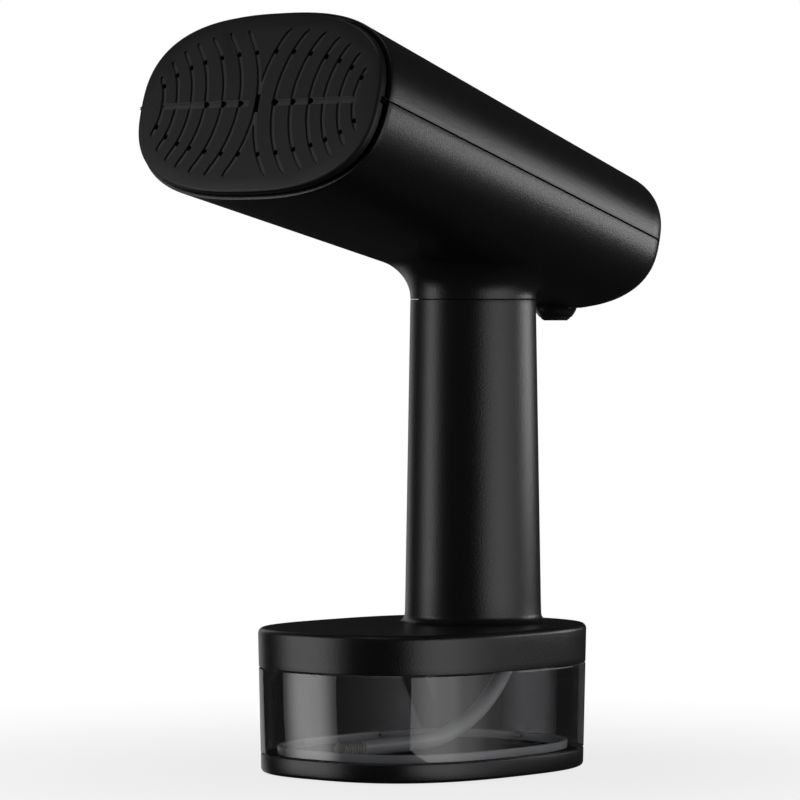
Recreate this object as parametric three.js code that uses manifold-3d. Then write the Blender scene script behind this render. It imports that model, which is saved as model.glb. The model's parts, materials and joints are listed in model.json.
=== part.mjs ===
// Handheld garment steamer: a tapered oval barrel with a flat steam plate, a round handle below it and
// a removable oval water tank that the whole unit stands on. Millimetres, +Z up. The steam plate faces
// -Y, and the origin is at the middle of the tank's anti-slip pad, on the surface that it stands on.
import * as THREE from "three";
import { mergeVertices } from "three/addons/utils/BufferGeometryUtils.js";
import Module from "manifold-3d";

const wasm = await Module();
wasm.setup();

// ---------------------------------------------------------------- driving dimensions

const GAP = 0.3; // between pieces that touch on the real object

// Water tank and cover: one oval outline, slightly narrower at the bottom
const BASE_HALF_X = 40.7;
const BASE_HALF_Y = 51.6;
const BASE_POWER = 2.7; // exponent of the superellipse
const BASE_DRAFT = 0.98; // bottom outline over top outline
const CAP_HEIGHT = 6.2;
const BAND_HEIGHT = 26.2;
const COVER_HEIGHT = 11.8;
const PAD_INSET = 7;
const PAD_THICK = 1.6;
const CAP_LIFT = 0.6;
const CAP_CHAMFER = 1.2;
const CAP_WALL = 2;
const CAP_FLOOR = 1.5;
const TANK_WALL = 2.4;
const TANK_FLOOR = 2;
const TANK_LEDGE = 1.9; // width of the step inside the wall at the floor
const LIP_HEIGHT = 2;
const LIP_THICK = 1.8;
const RING_THICK = 1.6;
const RING_HEIGHT = 2.6;
const RING_TABS = 10;
const TAB_SIZE = [3.4, 1.6, 1.2];
const COVER_WALL = 2.2;
const COVER_ROOF = 2;
const COVER_EDGE = 1.8;
const GASKET_WIDTH = 2.4;
const GASKET_THICK = 1.2;
const LID_THICK = 1.8;
const LID_SCREW_SPOTS = [[-24, -22], [24, -22], [-26, 12], [26, 12]];
const ELBOW_R = 1.9;
const ELBOW_SHIFT = 2; // from the handle's axis back to the elbow's upright end
const ELBOW_RISE = 5; // from the cover's top up to that end
const LEDGE_RISE = 1.6; // from the tank's shoulder up to the top of the step inside it

// Handle: a slightly conical tube, moulded in one with the cover
const HANDLE_Y = 23.3;
const HANDLE_LENGTH = 98.9;
const HANDLE_R_LOW = 21;
const HANDLE_R_HIGH = 19.3;
const HANDLE_WALL = 2.2;
const HANDLE_FILLET = 2.5;

// Barrel: tilted up towards the plate, measured along its own axis from the front of the plate
const TILT = THREE.MathUtils.degToRad(15.25);
const FACE_REACH = 97.5; // from the handle's axis forward to the middle of the plate
const FACE_RISE = 57.35; // from the top of the handle up to the middle of the plate
const BARREL_START = 3.3;
const BARREL_LENGTH = 152.5;
const BARREL_POWER = 2.6;
const FRONT_HALF_X = 48.9;
const FRONT_HALF_Z = 28.6;
const REAR_HALF_X = 36.4;
const REAR_HALF_Z = 22.2;
const REAR_ROUND = 11.1;
const SHELL_WALL = 2.2;
const NECK_FLARE = 8; // fillet between the neck and the barrel
const NECK_FLARE_SHIFT = 3;
const SPIGOT_LENGTH = 12;
const SPIGOT_WALL = 2;
const FAR = 400; // beyond the whole object, for the halves of space that cut it

// Steam plate and its pattern: curved grooves with steam holes, alike on both halves
const PLATE_HALF_X = 47.5;
const PLATE_HALF_Z = 27.3;
const PLATE_THICK = 2.6;
const PLATE_BEVEL = 1;
const GROOVE_CROSSINGS = [0, 6.9, 13.8, 20.7, 26.5, 32.5, 38]; // where each groove meets the mid-line
const GROOVE_RADII = [33.2, 30.9, 28.8, 27.1, 24.6, 21.4, 15.7];
const GROOVE_MARGIN = 4.9; // from the plate's outline to the ends of the grooves
const GROOVE_WIDTH = 1.3;
const GROOVE_DEPTH = 0.5;
const HOLE_SHARE = 0.7; // height of the outer holes as a share of the groove's half height
const HOLE_R = 0.75;
const SLOT_HEIGHT = 5.5;
const SLOT_WIDTH = 1.6;

// Boiler behind the plate
const BOILER_HALF_X = 40;
const BOILER_HALF_Z = 20.5;
const BOILER_DEPTH = 17.4;
const CHAMBER_INSET = 7;
const CHAMBER_DEPTH = 13;
const BOILER_COVER = 4;
const PLATE_GASKET = 1.4;
const BEZEL_DEPTH = 5.4;
const BEZEL_WIDTH = 3;
const SHIELD_THICK = 0.6;
const SHIELD_GAP = 2.2;
const SHIELD_LENGTH = 28;
const HEATER_R = 3.2;
const HEATER_HALF = 26;
const CARRIER_Y = 40;
const CARRIER_THICK = 3;
const CARRIER_WIDTH = 8;
const BOILER_SCREW_SPOTS = [[-34.5, -9], [34.5, -9], [-34.5, 9], [34.5, 9]];
const STEAM_PORTS = { spots: [-12, 0, 12], r: 1.5 };
const INLET = { r: 2, spot: [0, -9], length: 9 };
const HEATER_CORNER = 7;
const HEATER_END = 7; // how far the heater's ends stand behind the boiler's cover

// Cord outlet: a domed boss under the rear of the barrel with a rubber gland
const BOSS_R = 7;
const BOSS_BACK = 8.1; // from the barrel's rear end forward to the boss, along the barrel
const BOSS_SINK = 2.8; // from the barrel's underside up to the middle of the dome
const GLAND_R = 4.6;
const GLAND_BORE = 3.3;
const GLAND_LENGTH = 14;

// Electronics in the rear of the barrel
const BOARD = { halfX: 22, start: 98, length: 44, z: 2, thick: 1.6 };
const POST_R = 2.5;
const POST_SPOTS = [[-18, 4], [18, 4], [-18, 40], [18, 40]];
const CLAMP = { along: 128, z: -9, half: 11.5, width: 8, thick: 3, screw: 8 };
const RELAY = { x: [-15, 0], y: [16, 34], height: 11.5 };
const CAPACITOR = { x: [4, 11], y: [18, 32], height: 10 };
const TERMINALS = { x: [-8, 8], y: [1, 10], height: 9, lead: 4, bore: 1.4 };
const LEAD_R = 1.2;
const LEAD_RISE = 5; // from the board's face up to the leads

// Controls on the rear of the handle, measured down from its top
const TRIGGER = { width: 11, height: 24, top: 15.5, thick: 5.2, proud: 2.2, pivotDrop: 3 };
const TRIGGER_PIN_R = 1;
const CONTROL_PLAY = 0.5; // between a control and the edge of its opening
const LUG = { inner: 2.9, outer: 4.9, shelf: 2 }; // that hold the trigger's pin
const BUTTON = { r: 4.5, drop: 52, proud: 1, thick: 3.4, travel: 1.2 };
const LENS = { r: 1.5, drop: 43 };
const SWITCH_BOARD = { halfX: 6.5, y: 6, thick: 1.6, drop: 11, length: 52 };
const SWITCH = { halfX: 3, depth: 3.4, height: 6 };

// Pump in the handle
const PUMP_Y = -4.5; // from the handle's axis
const PUMP_RISE = 22; // from the cover up to the yoke
const YOKE = { halfX: 10, halfY: 9, height: 28, wall: 1.6 };
const COIL_R = 7.6;
const PUMP_R = 4;
const PUMP_BORE = 3.2;
const PLUNGER = { r: 2.9, length: 14 };
const MOUNT_THICK = 3;
const PUMP_FOOT = 9; // from the yoke down to the pump's inlet
const PUMP_CROWN = 12; // from the yoke up to its outlet
const WATER_HOSE_R = 1.8;
const BOILER_HOSE_R = 2.2;

// Screws: head radius, head height, shank radius, shank length
const LID_SCREW = { headR: 2.6, head: 1.4, r: 1.3, length: 5 };
const BOILER_SCREW = { headR: 2.8, head: 2, r: 1.5, length: 12 };
const BOARD_SCREW = { headR: 2.4, head: 1.6, r: 1.1, length: 5 };
const SCREW_PLAY = 0.3;

// Suction hose in the tank, as laid: it leaves the spout under the lid and lies along the tank's floor
const HOSE_R = 2.5;
const SPOUT_LENGTH = 5.2;
const HOSE_ROUTE = [
  [0, 41.5, 32.8], [0, 39.2, 29.4], [0, 36.3, 25.7], [0, 32.9, 22.1], [0, 29.1, 18.9], [0, 24.9, 16],
  [0, 20.3, 13.5], [0, 15.4, 11.5], [0, 10.3, 10], [0, 5, 9], [0, -0.5, 8.6], [0, -6, 8.5],
  [0, -12, 8.5], [0, -18, 8.5], [0, -24, 8.5], [0, -29, 8.5],
];
const STRAINER = { r: 2.6, length: 9 };

// ---------------------------------------------------------------- levels and outlines

const capTop = CAP_HEIGHT;
const bandTop = capTop + BAND_HEIGHT;
const coverTop = bandTop + COVER_HEIGHT;
const handleTop = coverTop + HANDLE_LENGTH;
const faceZ = handleTop + FACE_RISE;
const faceY = HANDLE_Y - FACE_REACH;
const capFloorTop = PAD_THICK + GAP + CAP_FLOOR;
const tankFloorTop = capFloorTop + GAP + TANK_FLOOR;
const lipTop = bandTop + LIP_HEIGHT;
const gasketTop = lipTop + GAP + GASKET_THICK;
const lidBottom = gasketTop + GAP;
const lidTop = lidBottom + LID_THICK;
const roofBottom = coverTop - COVER_ROOF;
const barrelEnd = BARREL_START + BARREL_LENGTH;

const onAxis = (along) => ({ rim: false, inset: 0, along });
const rim = (inset, along) => ({ rim: true, inset, along });

/** Half sizes of the tank's and the cover's outline at a height. */
function baseOutline(z) {
  const scale = 1 - ((1 - BASE_DRAFT) * (coverTop - z)) / coverTop;
  return { a: BASE_HALF_X * scale, b: BASE_HALF_Y * scale };
}

/** Half sizes of the barrel's outline at a distance behind the plate's front. */
function barrelOutline(along) {
  const t = (along - BARREL_START) / BARREL_LENGTH;
  const into = Math.min(Math.max(along - (barrelEnd - REAR_ROUND), 0), REAR_ROUND) / REAR_ROUND;
  const inset = REAR_ROUND * (1 - Math.sqrt(1 - into * into));
  return {
    a: FRONT_HALF_X + (REAR_HALF_X - FRONT_HALF_X) * t - inset,
    b: FRONT_HALF_Z + (REAR_HALF_Z - FRONT_HALF_Z) * t - inset,
  };
}

/** The handle's outer radius at a height. */
function handleRadius(z) {
  return HANDLE_R_LOW + ((HANDLE_R_HIGH - HANDLE_R_LOW) * (z - coverTop)) / HANDLE_LENGTH;
}

// ---------------------------------------------------------------- shape helpers

/** A sine or cosine drawn out for a superellipse. */
function bulge(value, power) {
  return Math.abs(value) < 1e-9 ? 0 : Math.sign(value) * Math.abs(value) ** (2 / power);
}

/** A closed solid swept through superellipses: the profile gives how far each ring stands inside. */
function ovalSolid(profile, outlineAt, power, segments = 32) {
  const points = profile.map((p) => new THREE.Vector2(p.rim ? 1 : 0, p.along));
  const geometry = new THREE.LatheGeometry(points, segments);
  const position = geometry.getAttribute("position");
  for (let i = 0; i < position.count; i += 1) {
    const { rim: onRim, inset, along } = profile[i % profile.length];
    if (!onRim) continue;
    const { a, b } = outlineAt(along);
    const angle = (2 * Math.PI * Math.floor(i / profile.length)) / segments;
    position.setXYZ(i, (a - inset) * bulge(Math.sin(angle), power), along,
      (b - inset) * bulge(Math.cos(angle), power));
  }
  return geometry;
}

/** The same along +Z, with the outline's second half size along Y. */
function uprightOval(profile, outlineAt, power, segments) {
  return ovalSolid(profile, outlineAt, power, segments).rotateX(Math.PI / 2);
}

/** A turned solid about +Z from [radius, z] pairs. */
function turned(pairs, segments = 24) {
  const points = pairs.map(([r, z]) => new THREE.Vector2(r, z));
  return new THREE.LatheGeometry(points, segments).rotateX(Math.PI / 2);
}

/** A box from its lowest to its highest corner. */
function block([x0, y0, z0], [x1, y1, z1]) {
  return new THREE.BoxGeometry(x1 - x0, y1 - y0, z1 - z0).translate((x0 + x1) / 2, (y0 + y1) / 2,
    (z0 + z1) / 2);
}

/** A cylinder along +Z from z0 to z1. */
function rod(r, z0, z1, segments = 12) {
  return new THREE.CylinderGeometry(r, r, z1 - z0, segments).rotateX(Math.PI / 2)
    .translate(0, 0, (z0 + z1) / 2);
}

/** A hollow ring along +Z. */
function ring(outer, inner, z0, z1, segments = 24) {
  return turned([[inner, z0], [outer, z0], [outer, z1], [inner, z1], [inner, z0]], segments);
}

/** A round tube along a smooth curve through points. */
function tube(route, radius, steps, sides = 8) {
  const section = new THREE.Shape();
  for (let i = 0; i < sides; i += 1) {
    const angle = (2 * Math.PI * i) / sides;
    const go = i === 0 ? "moveTo" : "lineTo";
    section[go](radius * Math.cos(angle), radius * Math.sin(angle));
  }
  section.closePath();
  const path = new THREE.CatmullRomCurve3(route.map((p) => new THREE.Vector3(...p)));
  return new THREE.ExtrudeGeometry(section, { steps, extrudePath: path, bevelEnabled: false });
}

/** A compression spring along +Z from 0 to its length. */
function coil(radius, wire, turns, length) {
  class Helix extends THREE.Curve {
    getPoint(t, target = new THREE.Vector3()) {
      const angle = 2 * Math.PI * turns * t;
      const z = wire + (length - 2 * wire) * t;
      return target.set(radius * Math.cos(angle), radius * Math.sin(angle), z);
    }
  }
  const section = new THREE.Shape();
  section.moveTo(wire, 0);
  section.lineTo(0, wire);
  section.lineTo(-wire, 0);
  section.lineTo(0, -wire);
  section.closePath();
  const extrudePath = new Helix();
  return new THREE.ExtrudeGeometry(section, { steps: turns * 9, extrudePath, bevelEnabled: false });
}

/** A screw along +Z with its head's underside at 0 and its shank below. */
function screw({ headR, head, r, length }) {
  return turned([[0, -length], [r, -length], [r, 0], [headR, 0], [headR, head * 0.6],
    [headR * 0.7, head], [0, head]], 8);
}

/** A manifold solid from a closed geometry, its seams merged and its flat triangles dropped. */
function solidOf(geometry) {
  const bare = geometry.clone();
  bare.deleteAttribute("normal");
  bare.deleteAttribute("uv");
  const merged = mergeVertices(bare, 1e-4);
  const index = merged.index.array;
  const whole = [];
  for (let i = 0; i < index.length; i += 3) {
    const [p, q, r] = [index[i], index[i + 1], index[i + 2]];
    if (p !== q && q !== r && r !== p) whole.push(p, q, r);
  }
  const vertProperties = merged.getAttribute("position").array;
  const triVerts = new Uint32Array(whole);
  return new wasm.Manifold(new wasm.Mesh({ numProp: 3, vertProperties, triVerts }));
}

/** The geometry of a manifold solid. */
function geometryOf(solid) {
  const mesh = solid.getMesh();
  const geometry = new THREE.BufferGeometry();
  geometry.setAttribute("position", new THREE.BufferAttribute(mesh.vertProperties, 3));
  geometry.setIndex(new THREE.BufferAttribute(mesh.triVerts, 1));
  return geometry;
}

const combine = (how) => (first, ...others) =>
  geometryOf(others.reduce((made, next) => made[how](solidOf(next)), solidOf(first)));
const join = combine("add");
const cut = combine("subtract");
const keep = combine("intersect");

// ---------------------------------------------------------------- materials

const finish = (color, roughness, metalness = 0, extra = {}) =>
  new THREE.MeshStandardMaterial({ color, roughness, metalness, ...extra });
const shellPlastic = finish(0x161617, 0.5);
const platePaint = finish(0x26272a, 0.45, 0.4);
const innerPlastic = finish(0x2c2c2e, 0.6);
const smokedTank = finish(0x2a2b2d, 0.08, 0, { transparent: true, opacity: 0.4 });
const siliconeClear = finish(0x9a9c9e, 0.4);
const rubberBlack = finish(0x0e0e0e, 0.9);
const castAluminium = finish(0x9a9c9f, 0.45, 0.9);
const steel = finish(0xb4b6b8, 0.3, 1);
const brass = finish(0xb08d4a, 0.35, 1);
const boardGreen = finish(0x1f5a38, 0.55);
const coilCopper = finish(0x9c5a2e, 0.4, 0.6);
const whiteNylon = finish(0xd9d9d4, 0.5);
const ledLens = finish(0xe6efe9, 0.2);
const wireRed = finish(0x8f2a22, 0.5);
const wireBlue = finish(0x29477a, 0.5);

// ---------------------------------------------------------------- scene graph

const steamer = new THREE.Group();
const tank = new THREE.Group();
const unit = new THREE.Group();
const handle = new THREE.Group();
handle.position.set(0, HANDLE_Y, 0);
const head = new THREE.Group(); // its +Y runs back along the barrel
head.position.set(0, faceY, faceZ);
head.rotation.x = -TILT;
unit.add(handle, head);
steamer.add(tank, unit);

/** Adds a named piece to a group. */
function addPiece(parent, name, geometry, material, [x, y, z] = [0, 0, 0]) {
  const mesh = new THREE.Mesh(geometry, material);
  mesh.name = name;
  mesh.position.set(x, y, z);
  parent.add(mesh);
  return mesh;
}

const base = (profile) => uprightOval(profile, baseOutline, BASE_POWER);
const toHead = new THREE.Matrix4().makeRotationX(TILT)
  .multiply(new THREE.Matrix4().makeTranslation(0, -faceY, -faceZ));
/** Moves a shape that was made in the part's frame into the barrel's frame. */
const inHead = (geometry) => geometry.clone().applyMatrix4(toHead);

// ---------------------------------------------------------------- water tank

addPiece(tank, "anti_slip_pad", base([
  onAxis(0), rim(PAD_INSET, 0), rim(PAD_INSET, PAD_THICK), onAxis(PAD_THICK),
]), rubberBlack);

addPiece(tank, "base_cap", base([
  onAxis(PAD_THICK + GAP), rim(PAD_INSET - GAP, PAD_THICK + GAP), rim(PAD_INSET - GAP, CAP_LIFT),
  rim(CAP_CHAMFER, CAP_LIFT), rim(0, CAP_LIFT + CAP_CHAMFER), rim(0, capTop), rim(CAP_WALL, capTop),
  rim(CAP_WALL, capFloorTop), onAxis(capFloorTop),
]), shellPlastic);

const lipOuter = COVER_WALL + GAP;
const lipInner = lipOuter + LIP_THICK;
const ledge = TANK_WALL + TANK_LEDGE;
const ledgeTop = capTop + GAP + LEDGE_RISE;
addPiece(tank, "tank_cup", base([
  onAxis(capFloorTop + GAP), rim(CAP_WALL + GAP, capFloorTop + GAP), rim(CAP_WALL + GAP, capTop + GAP),
  rim(0, capTop + GAP), rim(0, bandTop - GAP), rim(lipOuter, bandTop - GAP), rim(lipOuter, lipTop),
  rim(lipInner, lipTop), rim(lipInner, bandTop - 2), rim(TANK_WALL, bandTop - 4),
  rim(TANK_WALL, ledgeTop + 0.8),
  rim(ledge, ledgeTop), rim(ledge, tankFloorTop), onAxis(tankFloorTop),
]), smokedTank);

/** The snap ring on the tank's floor, with small tabs around its inside. */
function floorRing() {
  const outer = ledge + GAP;
  const inner = outer + RING_THICK;
  const low = tankFloorTop + GAP;
  const body = base([
    rim(inner, low), rim(outer, low), rim(outer, low + RING_HEIGHT), rim(inner, low + RING_HEIGHT),
    rim(inner, low),
  ]);
  const { a, b } = baseOutline(low);
  const [width, reach, height] = TAB_SIZE;
  const tabs = [];
  for (let i = 0; i < RING_TABS; i += 1) {
    const angle = (2 * Math.PI * (i + 0.5)) / RING_TABS;
    const x = (a - inner) * bulge(Math.sin(angle), BASE_POWER);
    const y = (b - inner) * bulge(Math.cos(angle), BASE_POWER);
    const slopeX = (Math.abs(x) ** (BASE_POWER - 1) * Math.sign(x)) / (a - inner) ** BASE_POWER;
    const slopeY = (Math.abs(y) ** (BASE_POWER - 1) * Math.sign(y)) / (b - inner) ** BASE_POWER;
    const across = Math.atan2(slopeY, slopeX);
    tabs.push(block([-reach, -width / 2, 0], [0.8, width / 2, height]).rotateZ(across)
      .translate(x, y, low + RING_HEIGHT - height - 0.3));
  }
  return join(body, ...tabs);
}
addPiece(tank, "floor_ring", floorRing(), innerPlastic);

// ---------------------------------------------------------------- lid, gasket and suction line

const spoutEnd = HOSE_ROUTE[0];
const spoutLean = Math.atan2(HOSE_ROUTE[0][1] - HOSE_ROUTE[1][1], HOSE_ROUTE[0][2] - HOSE_ROUTE[1][2]);
const elbowY = spoutEnd[1] + SPOUT_LENGTH * Math.sin(spoutLean);
const lidHole = LID_SCREW.r + SCREW_PLAY;

const gasketOuter = lipOuter + 0.1;
const gasketInner = gasketOuter + GASKET_WIDTH;
addPiece(unit, "tank_gasket", base([
  rim(gasketInner, lipTop + GAP), rim(gasketOuter, lipTop + GAP), rim(gasketOuter, gasketTop),
  rim(gasketInner, gasketTop), rim(gasketInner, lipTop + GAP),
]), rubberBlack);

const elbowLevel = (lidTop + roofBottom) / 2;
addPiece(unit, "lid_plate", cut(
  base([onAxis(lidBottom), rim(lipOuter, lidBottom), rim(lipOuter, lidTop), onAxis(lidTop)]),
  rod(ELBOW_R + 1.1, lidBottom - 1, lidTop + 1).translate(0, elbowY, 0),
  ...LID_SCREW_SPOTS.map(([x, y]) => rod(lidHole, lidBottom - 1, lidTop + 1, 10).translate(x, y, 0)),
), innerPlastic);
LID_SCREW_SPOTS.forEach(([x, y], i) => {
  addPiece(unit, `lid_screw_${i + 1}`, screw(LID_SCREW).rotateX(Math.PI), steel, [x, y, lidBottom - GAP]);
});

/** The elbow that carries the water from the tank, through the lid, to the foot of the handle. */
function suctionElbow() {
  const riseY = HANDLE_Y + ELBOW_SHIFT;
  const spout = rod(ELBOW_R, GAP - SPOUT_LENGTH, 0).rotateX(-spoutLean)
    .translate(0, elbowY, spoutEnd[2] + SPOUT_LENGTH * Math.cos(spoutLean));
  return join(
    rod(ELBOW_R + 0.8, lidBottom - 0.2, elbowLevel).translate(0, elbowY, 0),
    spout,
    rod(ELBOW_R, 0, elbowY - riseY).rotateX(Math.PI / 2).translate(0, elbowY, elbowLevel),
    rod(ELBOW_R, elbowLevel - 1, coverTop + ELBOW_RISE).translate(0, riseY, 0),
  );
}
addPiece(unit, "suction_elbow", suctionElbow(), innerPlastic);
addPiece(unit, "suction_hose", tube(HOSE_ROUTE, HOSE_R, 22), siliconeClear);

const hoseFoot = HOSE_ROUTE[HOSE_ROUTE.length - 1];
addPiece(unit, "suction_strainer", turned([
  [0, 0], [STRAINER.r - 0.6, 0], [STRAINER.r, 0.8], [STRAINER.r, STRAINER.length], [0, STRAINER.length],
], 14).rotateX(-Math.PI / 2), whiteNylon, [0, hoseFoot[1] - GAP - STRAINER.length, hoseFoot[2]]);

// ---------------------------------------------------------------- handle with cover

const triggerTop = handleTop - TRIGGER.top;
const triggerMid = triggerTop - TRIGGER.height / 2;
const triggerFace = HANDLE_Y + handleRadius(triggerMid) + TRIGGER.proud;
const buttonZ = handleTop - BUTTON.drop;
const buttonFace = HANDLE_Y + handleRadius(buttonZ) + BUTTON.proud;
const lensZ = handleTop - LENS.drop;
const backwards = (geometry) => geometry.rotateX(-Math.PI / 2);
const pivotY = triggerFace - TRIGGER.thick - 1.4;
const pivotZ = triggerTop - TRIGGER.pivotDrop;

/** The handle's tube and the tank's cover, one moulding. */
function handleShell() {
  const cover = base([
    onAxis(bandTop), rim(0, bandTop), rim(0, coverTop - COVER_EDGE),
    rim(COVER_EDGE * 0.29, coverTop - COVER_EDGE * 0.29), rim(COVER_EDGE, coverTop), onAxis(coverTop),
  ]);
  const coverHollow = base([
    onAxis(bandTop - 1), rim(COVER_WALL, bandTop - 1), rim(COVER_WALL, roofBottom), onAxis(roofBottom),
  ]);
  const outside = [[0, coverTop - 1], [HANDLE_R_LOW + HANDLE_FILLET, coverTop - 1]];
  for (let i = 0; i <= 4; i += 1) {
    const angle = (Math.PI / 2) * (i / 4);
    outside.push([HANDLE_R_LOW + HANDLE_FILLET * (1 - Math.sin(angle)),
      coverTop + HANDLE_FILLET * (1 - Math.cos(angle))]);
  }
  outside.push([HANDLE_R_HIGH, handleTop], [0, handleTop]);
  const inside = [
    [0, coverTop - COVER_ROOF - 1], [HANDLE_R_LOW - HANDLE_WALL, coverTop - COVER_ROOF - 1],
    [HANDLE_R_HIGH - HANDLE_WALL, handleTop], [HANDLE_R_HIGH - HANDLE_WALL, handleTop + 1],
    [0, handleTop + 1],
  ];
  const bosses = LID_SCREW_SPOTS.map(([x, y]) =>
    rod(3, lidTop + GAP, roofBottom + 0.5, 12).translate(x, y, 0));
  const bossHoles = LID_SCREW_SPOTS.map(([x, y]) =>
    rod(lidHole, lidTop - 1, lidBottom - GAP + LID_SCREW.length + GAP, 10).translate(x, y, 0));
  const half = TRIGGER.width / 2 + CONTROL_PLAY;
  const controls = [
    block([-half, HANDLE_Y + 5, triggerTop - TRIGGER.height - CONTROL_PLAY],
      [half, HANDLE_Y + 40, triggerTop + CONTROL_PLAY]),
    backwards(rod(BUTTON.r + CONTROL_PLAY, 5, 40)).translate(0, HANDLE_Y, buttonZ),
    backwards(rod(LENS.r + GAP, 5, 40, 12)).translate(0, HANDLE_Y, lensZ),
  ];
  const lugs = [-1, 1].flatMap((side) => {
    const [x0, x1] = side > 0 ? [LUG.inner, LUG.outer] : [-LUG.outer, -LUG.inner];
    const back = triggerFace - TRIGGER.thick - CONTROL_PLAY;
    const shelf = triggerTop + CONTROL_PLAY;
    return [
      block([x0, pivotY - 1.8, pivotZ - 1.8], [x1, back, shelf + 0.1]),
      block([x0, pivotY - 1.8, shelf], [x1, HANDLE_Y + handleRadius(shelf) - 1, shelf + LUG.shelf]),
    ];
  });
  const pinHole = rod(TRIGGER_PIN_R + 0.1, -8, 8).rotateY(Math.PI / 2).translate(0, pivotY, pivotZ);
  const hollowed = cut(cover, coverHollow);
  const joined = join(hollowed, turned(outside, 32).translate(0, HANDLE_Y, 0), ...bosses);
  const open = cut(joined, turned(inside, 28).translate(0, HANDLE_Y, 0), ...bossHoles, ...controls);
  return cut(join(open, ...lugs), pinHole);
}
addPiece(unit, "handle_shell", handleShell(), shellPlastic);

// ---------------------------------------------------------------- controls

const boardBack = HANDLE_Y + SWITCH_BOARD.y + SWITCH_BOARD.thick;
const switchBack = boardBack + GAP + SWITCH.depth;

/** The thumb trigger: a crowned paddle with a hinge ear on its inside. */
function steamTrigger() {
  const half = TRIGGER.width / 2;
  const paddle = new THREE.Shape();
  const low = triggerTop - TRIGGER.height;
  paddle.moveTo(triggerFace - TRIGGER.thick, low);
  paddle.lineTo(triggerFace - 1.4, low);
  paddle.quadraticCurveTo(triggerFace, low + 1, triggerFace, low + 6);
  paddle.lineTo(triggerFace - 0.6, triggerTop - 4);
  paddle.quadraticCurveTo(triggerFace - 1, triggerTop, triggerFace - 2.4, triggerTop);
  paddle.lineTo(triggerFace - TRIGGER.thick, triggerTop);
  paddle.closePath();
  const body = new THREE.ExtrudeGeometry(paddle, {
    depth: TRIGGER.width, bevelEnabled: false, curveSegments: 5,
  }).rotateX(Math.PI / 2).rotateZ(Math.PI / 2).translate(-half, 0, 0);
  const ear = block([-2.5, pivotY - 2, pivotZ - 2], [2.5, triggerFace - TRIGGER.thick + 0.5, pivotZ + 2]);
  const nose = block([-1.5, switchBack + 1.9, triggerMid - 7.5],
    [1.5, triggerFace - TRIGGER.thick + 0.5, triggerMid - 4.5]);
  const bore = rod(TRIGGER_PIN_R + 0.05, -10, 10).rotateY(Math.PI / 2).translate(0, pivotY, pivotZ);
  return cut(join(body, ear, nose), bore);
}
addPiece(unit, "steam_trigger", steamTrigger(), shellPlastic);
addPiece(unit, "trigger_pin", rod(TRIGGER_PIN_R, -4.6, 4.6, 12).rotateY(Math.PI / 2), steel,
  [0, pivotY, pivotZ]);

const springZ = triggerMid + 1.5;
const springSeat = boardBack + GAP;
const springLength = triggerFace - TRIGGER.thick - springSeat - GAP;
addPiece(unit, "trigger_spring", backwards(coil(1.8, 0.3, 4, springLength)), steel,
  [0, springSeat, springZ]);

const stemEnd = switchBack + GAP + BUTTON.travel - buttonFace;
addPiece(unit, "power_button", backwards(turned([
  [0, stemEnd], [1.5, stemEnd],
  [1.5, -BUTTON.thick], [BUTTON.r, -BUTTON.thick], [BUTTON.r, -0.5], [BUTTON.r - 0.5, 0], [0, 0],
], 20)), innerPlastic, [0, buttonFace, buttonZ]);
addPiece(unit, "indicator_lens", backwards(turned([
  [0, boardBack + GAP - HANDLE_Y], [LENS.r, boardBack + GAP - HANDLE_Y],
  [LENS.r, handleRadius(lensZ) - 0.2], [LENS.r * 0.6, handleRadius(lensZ) + 0.1],
  [0, handleRadius(lensZ) + 0.1],
], 12)), ledLens, [0, HANDLE_Y, lensZ]);

const boardTop = handleTop - SWITCH_BOARD.drop;
addPiece(unit, "switch_board", block(
  [-SWITCH_BOARD.halfX, HANDLE_Y + SWITCH_BOARD.y, boardTop - SWITCH_BOARD.length],
  [SWITCH_BOARD.halfX, boardBack, boardTop],
), boardGreen);
/** A micro switch with its push tip, lying on the switch board. */
function microSwitch() {
  return join(
    block([-SWITCH.halfX, 0, -SWITCH.height / 2], [SWITCH.halfX, SWITCH.depth - 0.8, SWITCH.height / 2]),
    block([-1, 1, -1], [1, SWITCH.depth, 1]),
  );
}
addPiece(unit, "steam_switch", microSwitch(), innerPlastic, [0, boardBack + GAP, triggerMid - 6]);
addPiece(unit, "power_switch", microSwitch(), innerPlastic, [0, boardBack + GAP, buttonZ]);

// ---------------------------------------------------------------- pump

const pumpLow = coverTop + PUMP_RISE;
const pumpHigh = pumpLow + YOKE.height;
const pumpFoot = pumpLow - PUMP_FOOT;
const pumpCrown = pumpHigh + PUMP_CROWN;
const pumpAt = [0, PUMP_Y, 0];

/** The steel yoke: a rectangular loop around the coil with a hole for the pump's tube. */
function pumpYoke() {
  const { halfX, halfY, wall } = YOKE;
  return cut(
    block([-halfX, -halfY, pumpLow], [halfX, halfY, pumpHigh]),
    block([-halfX + wall, -halfY - 1, pumpLow + wall], [halfX - wall, halfY + 1, pumpHigh - wall]),
    rod(PUMP_R + GAP, pumpLow - 1, pumpHigh + 1),
  );
}
/** The pump's plastic body: a bore for the plunger, an inlet below and an outlet above. */
function pumpBody() {
  const outside = turned([
    [0, pumpFoot], [1.6, pumpFoot], [1.6, pumpLow - 4], [PUMP_R, pumpLow - 4], [PUMP_R, pumpHigh + 5],
    [2.6, pumpHigh + 6], [1.6, pumpHigh + 6], [1.6, pumpCrown], [0, pumpCrown],
  ], 16);
  return cut(outside, rod(PUMP_BORE, pumpLow, pumpHigh + 2), rod(0.8, pumpFoot - 1, pumpLow + 1, 8),
    rod(0.8, pumpHigh + 1, pumpCrown + 1, 8));
}
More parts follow.
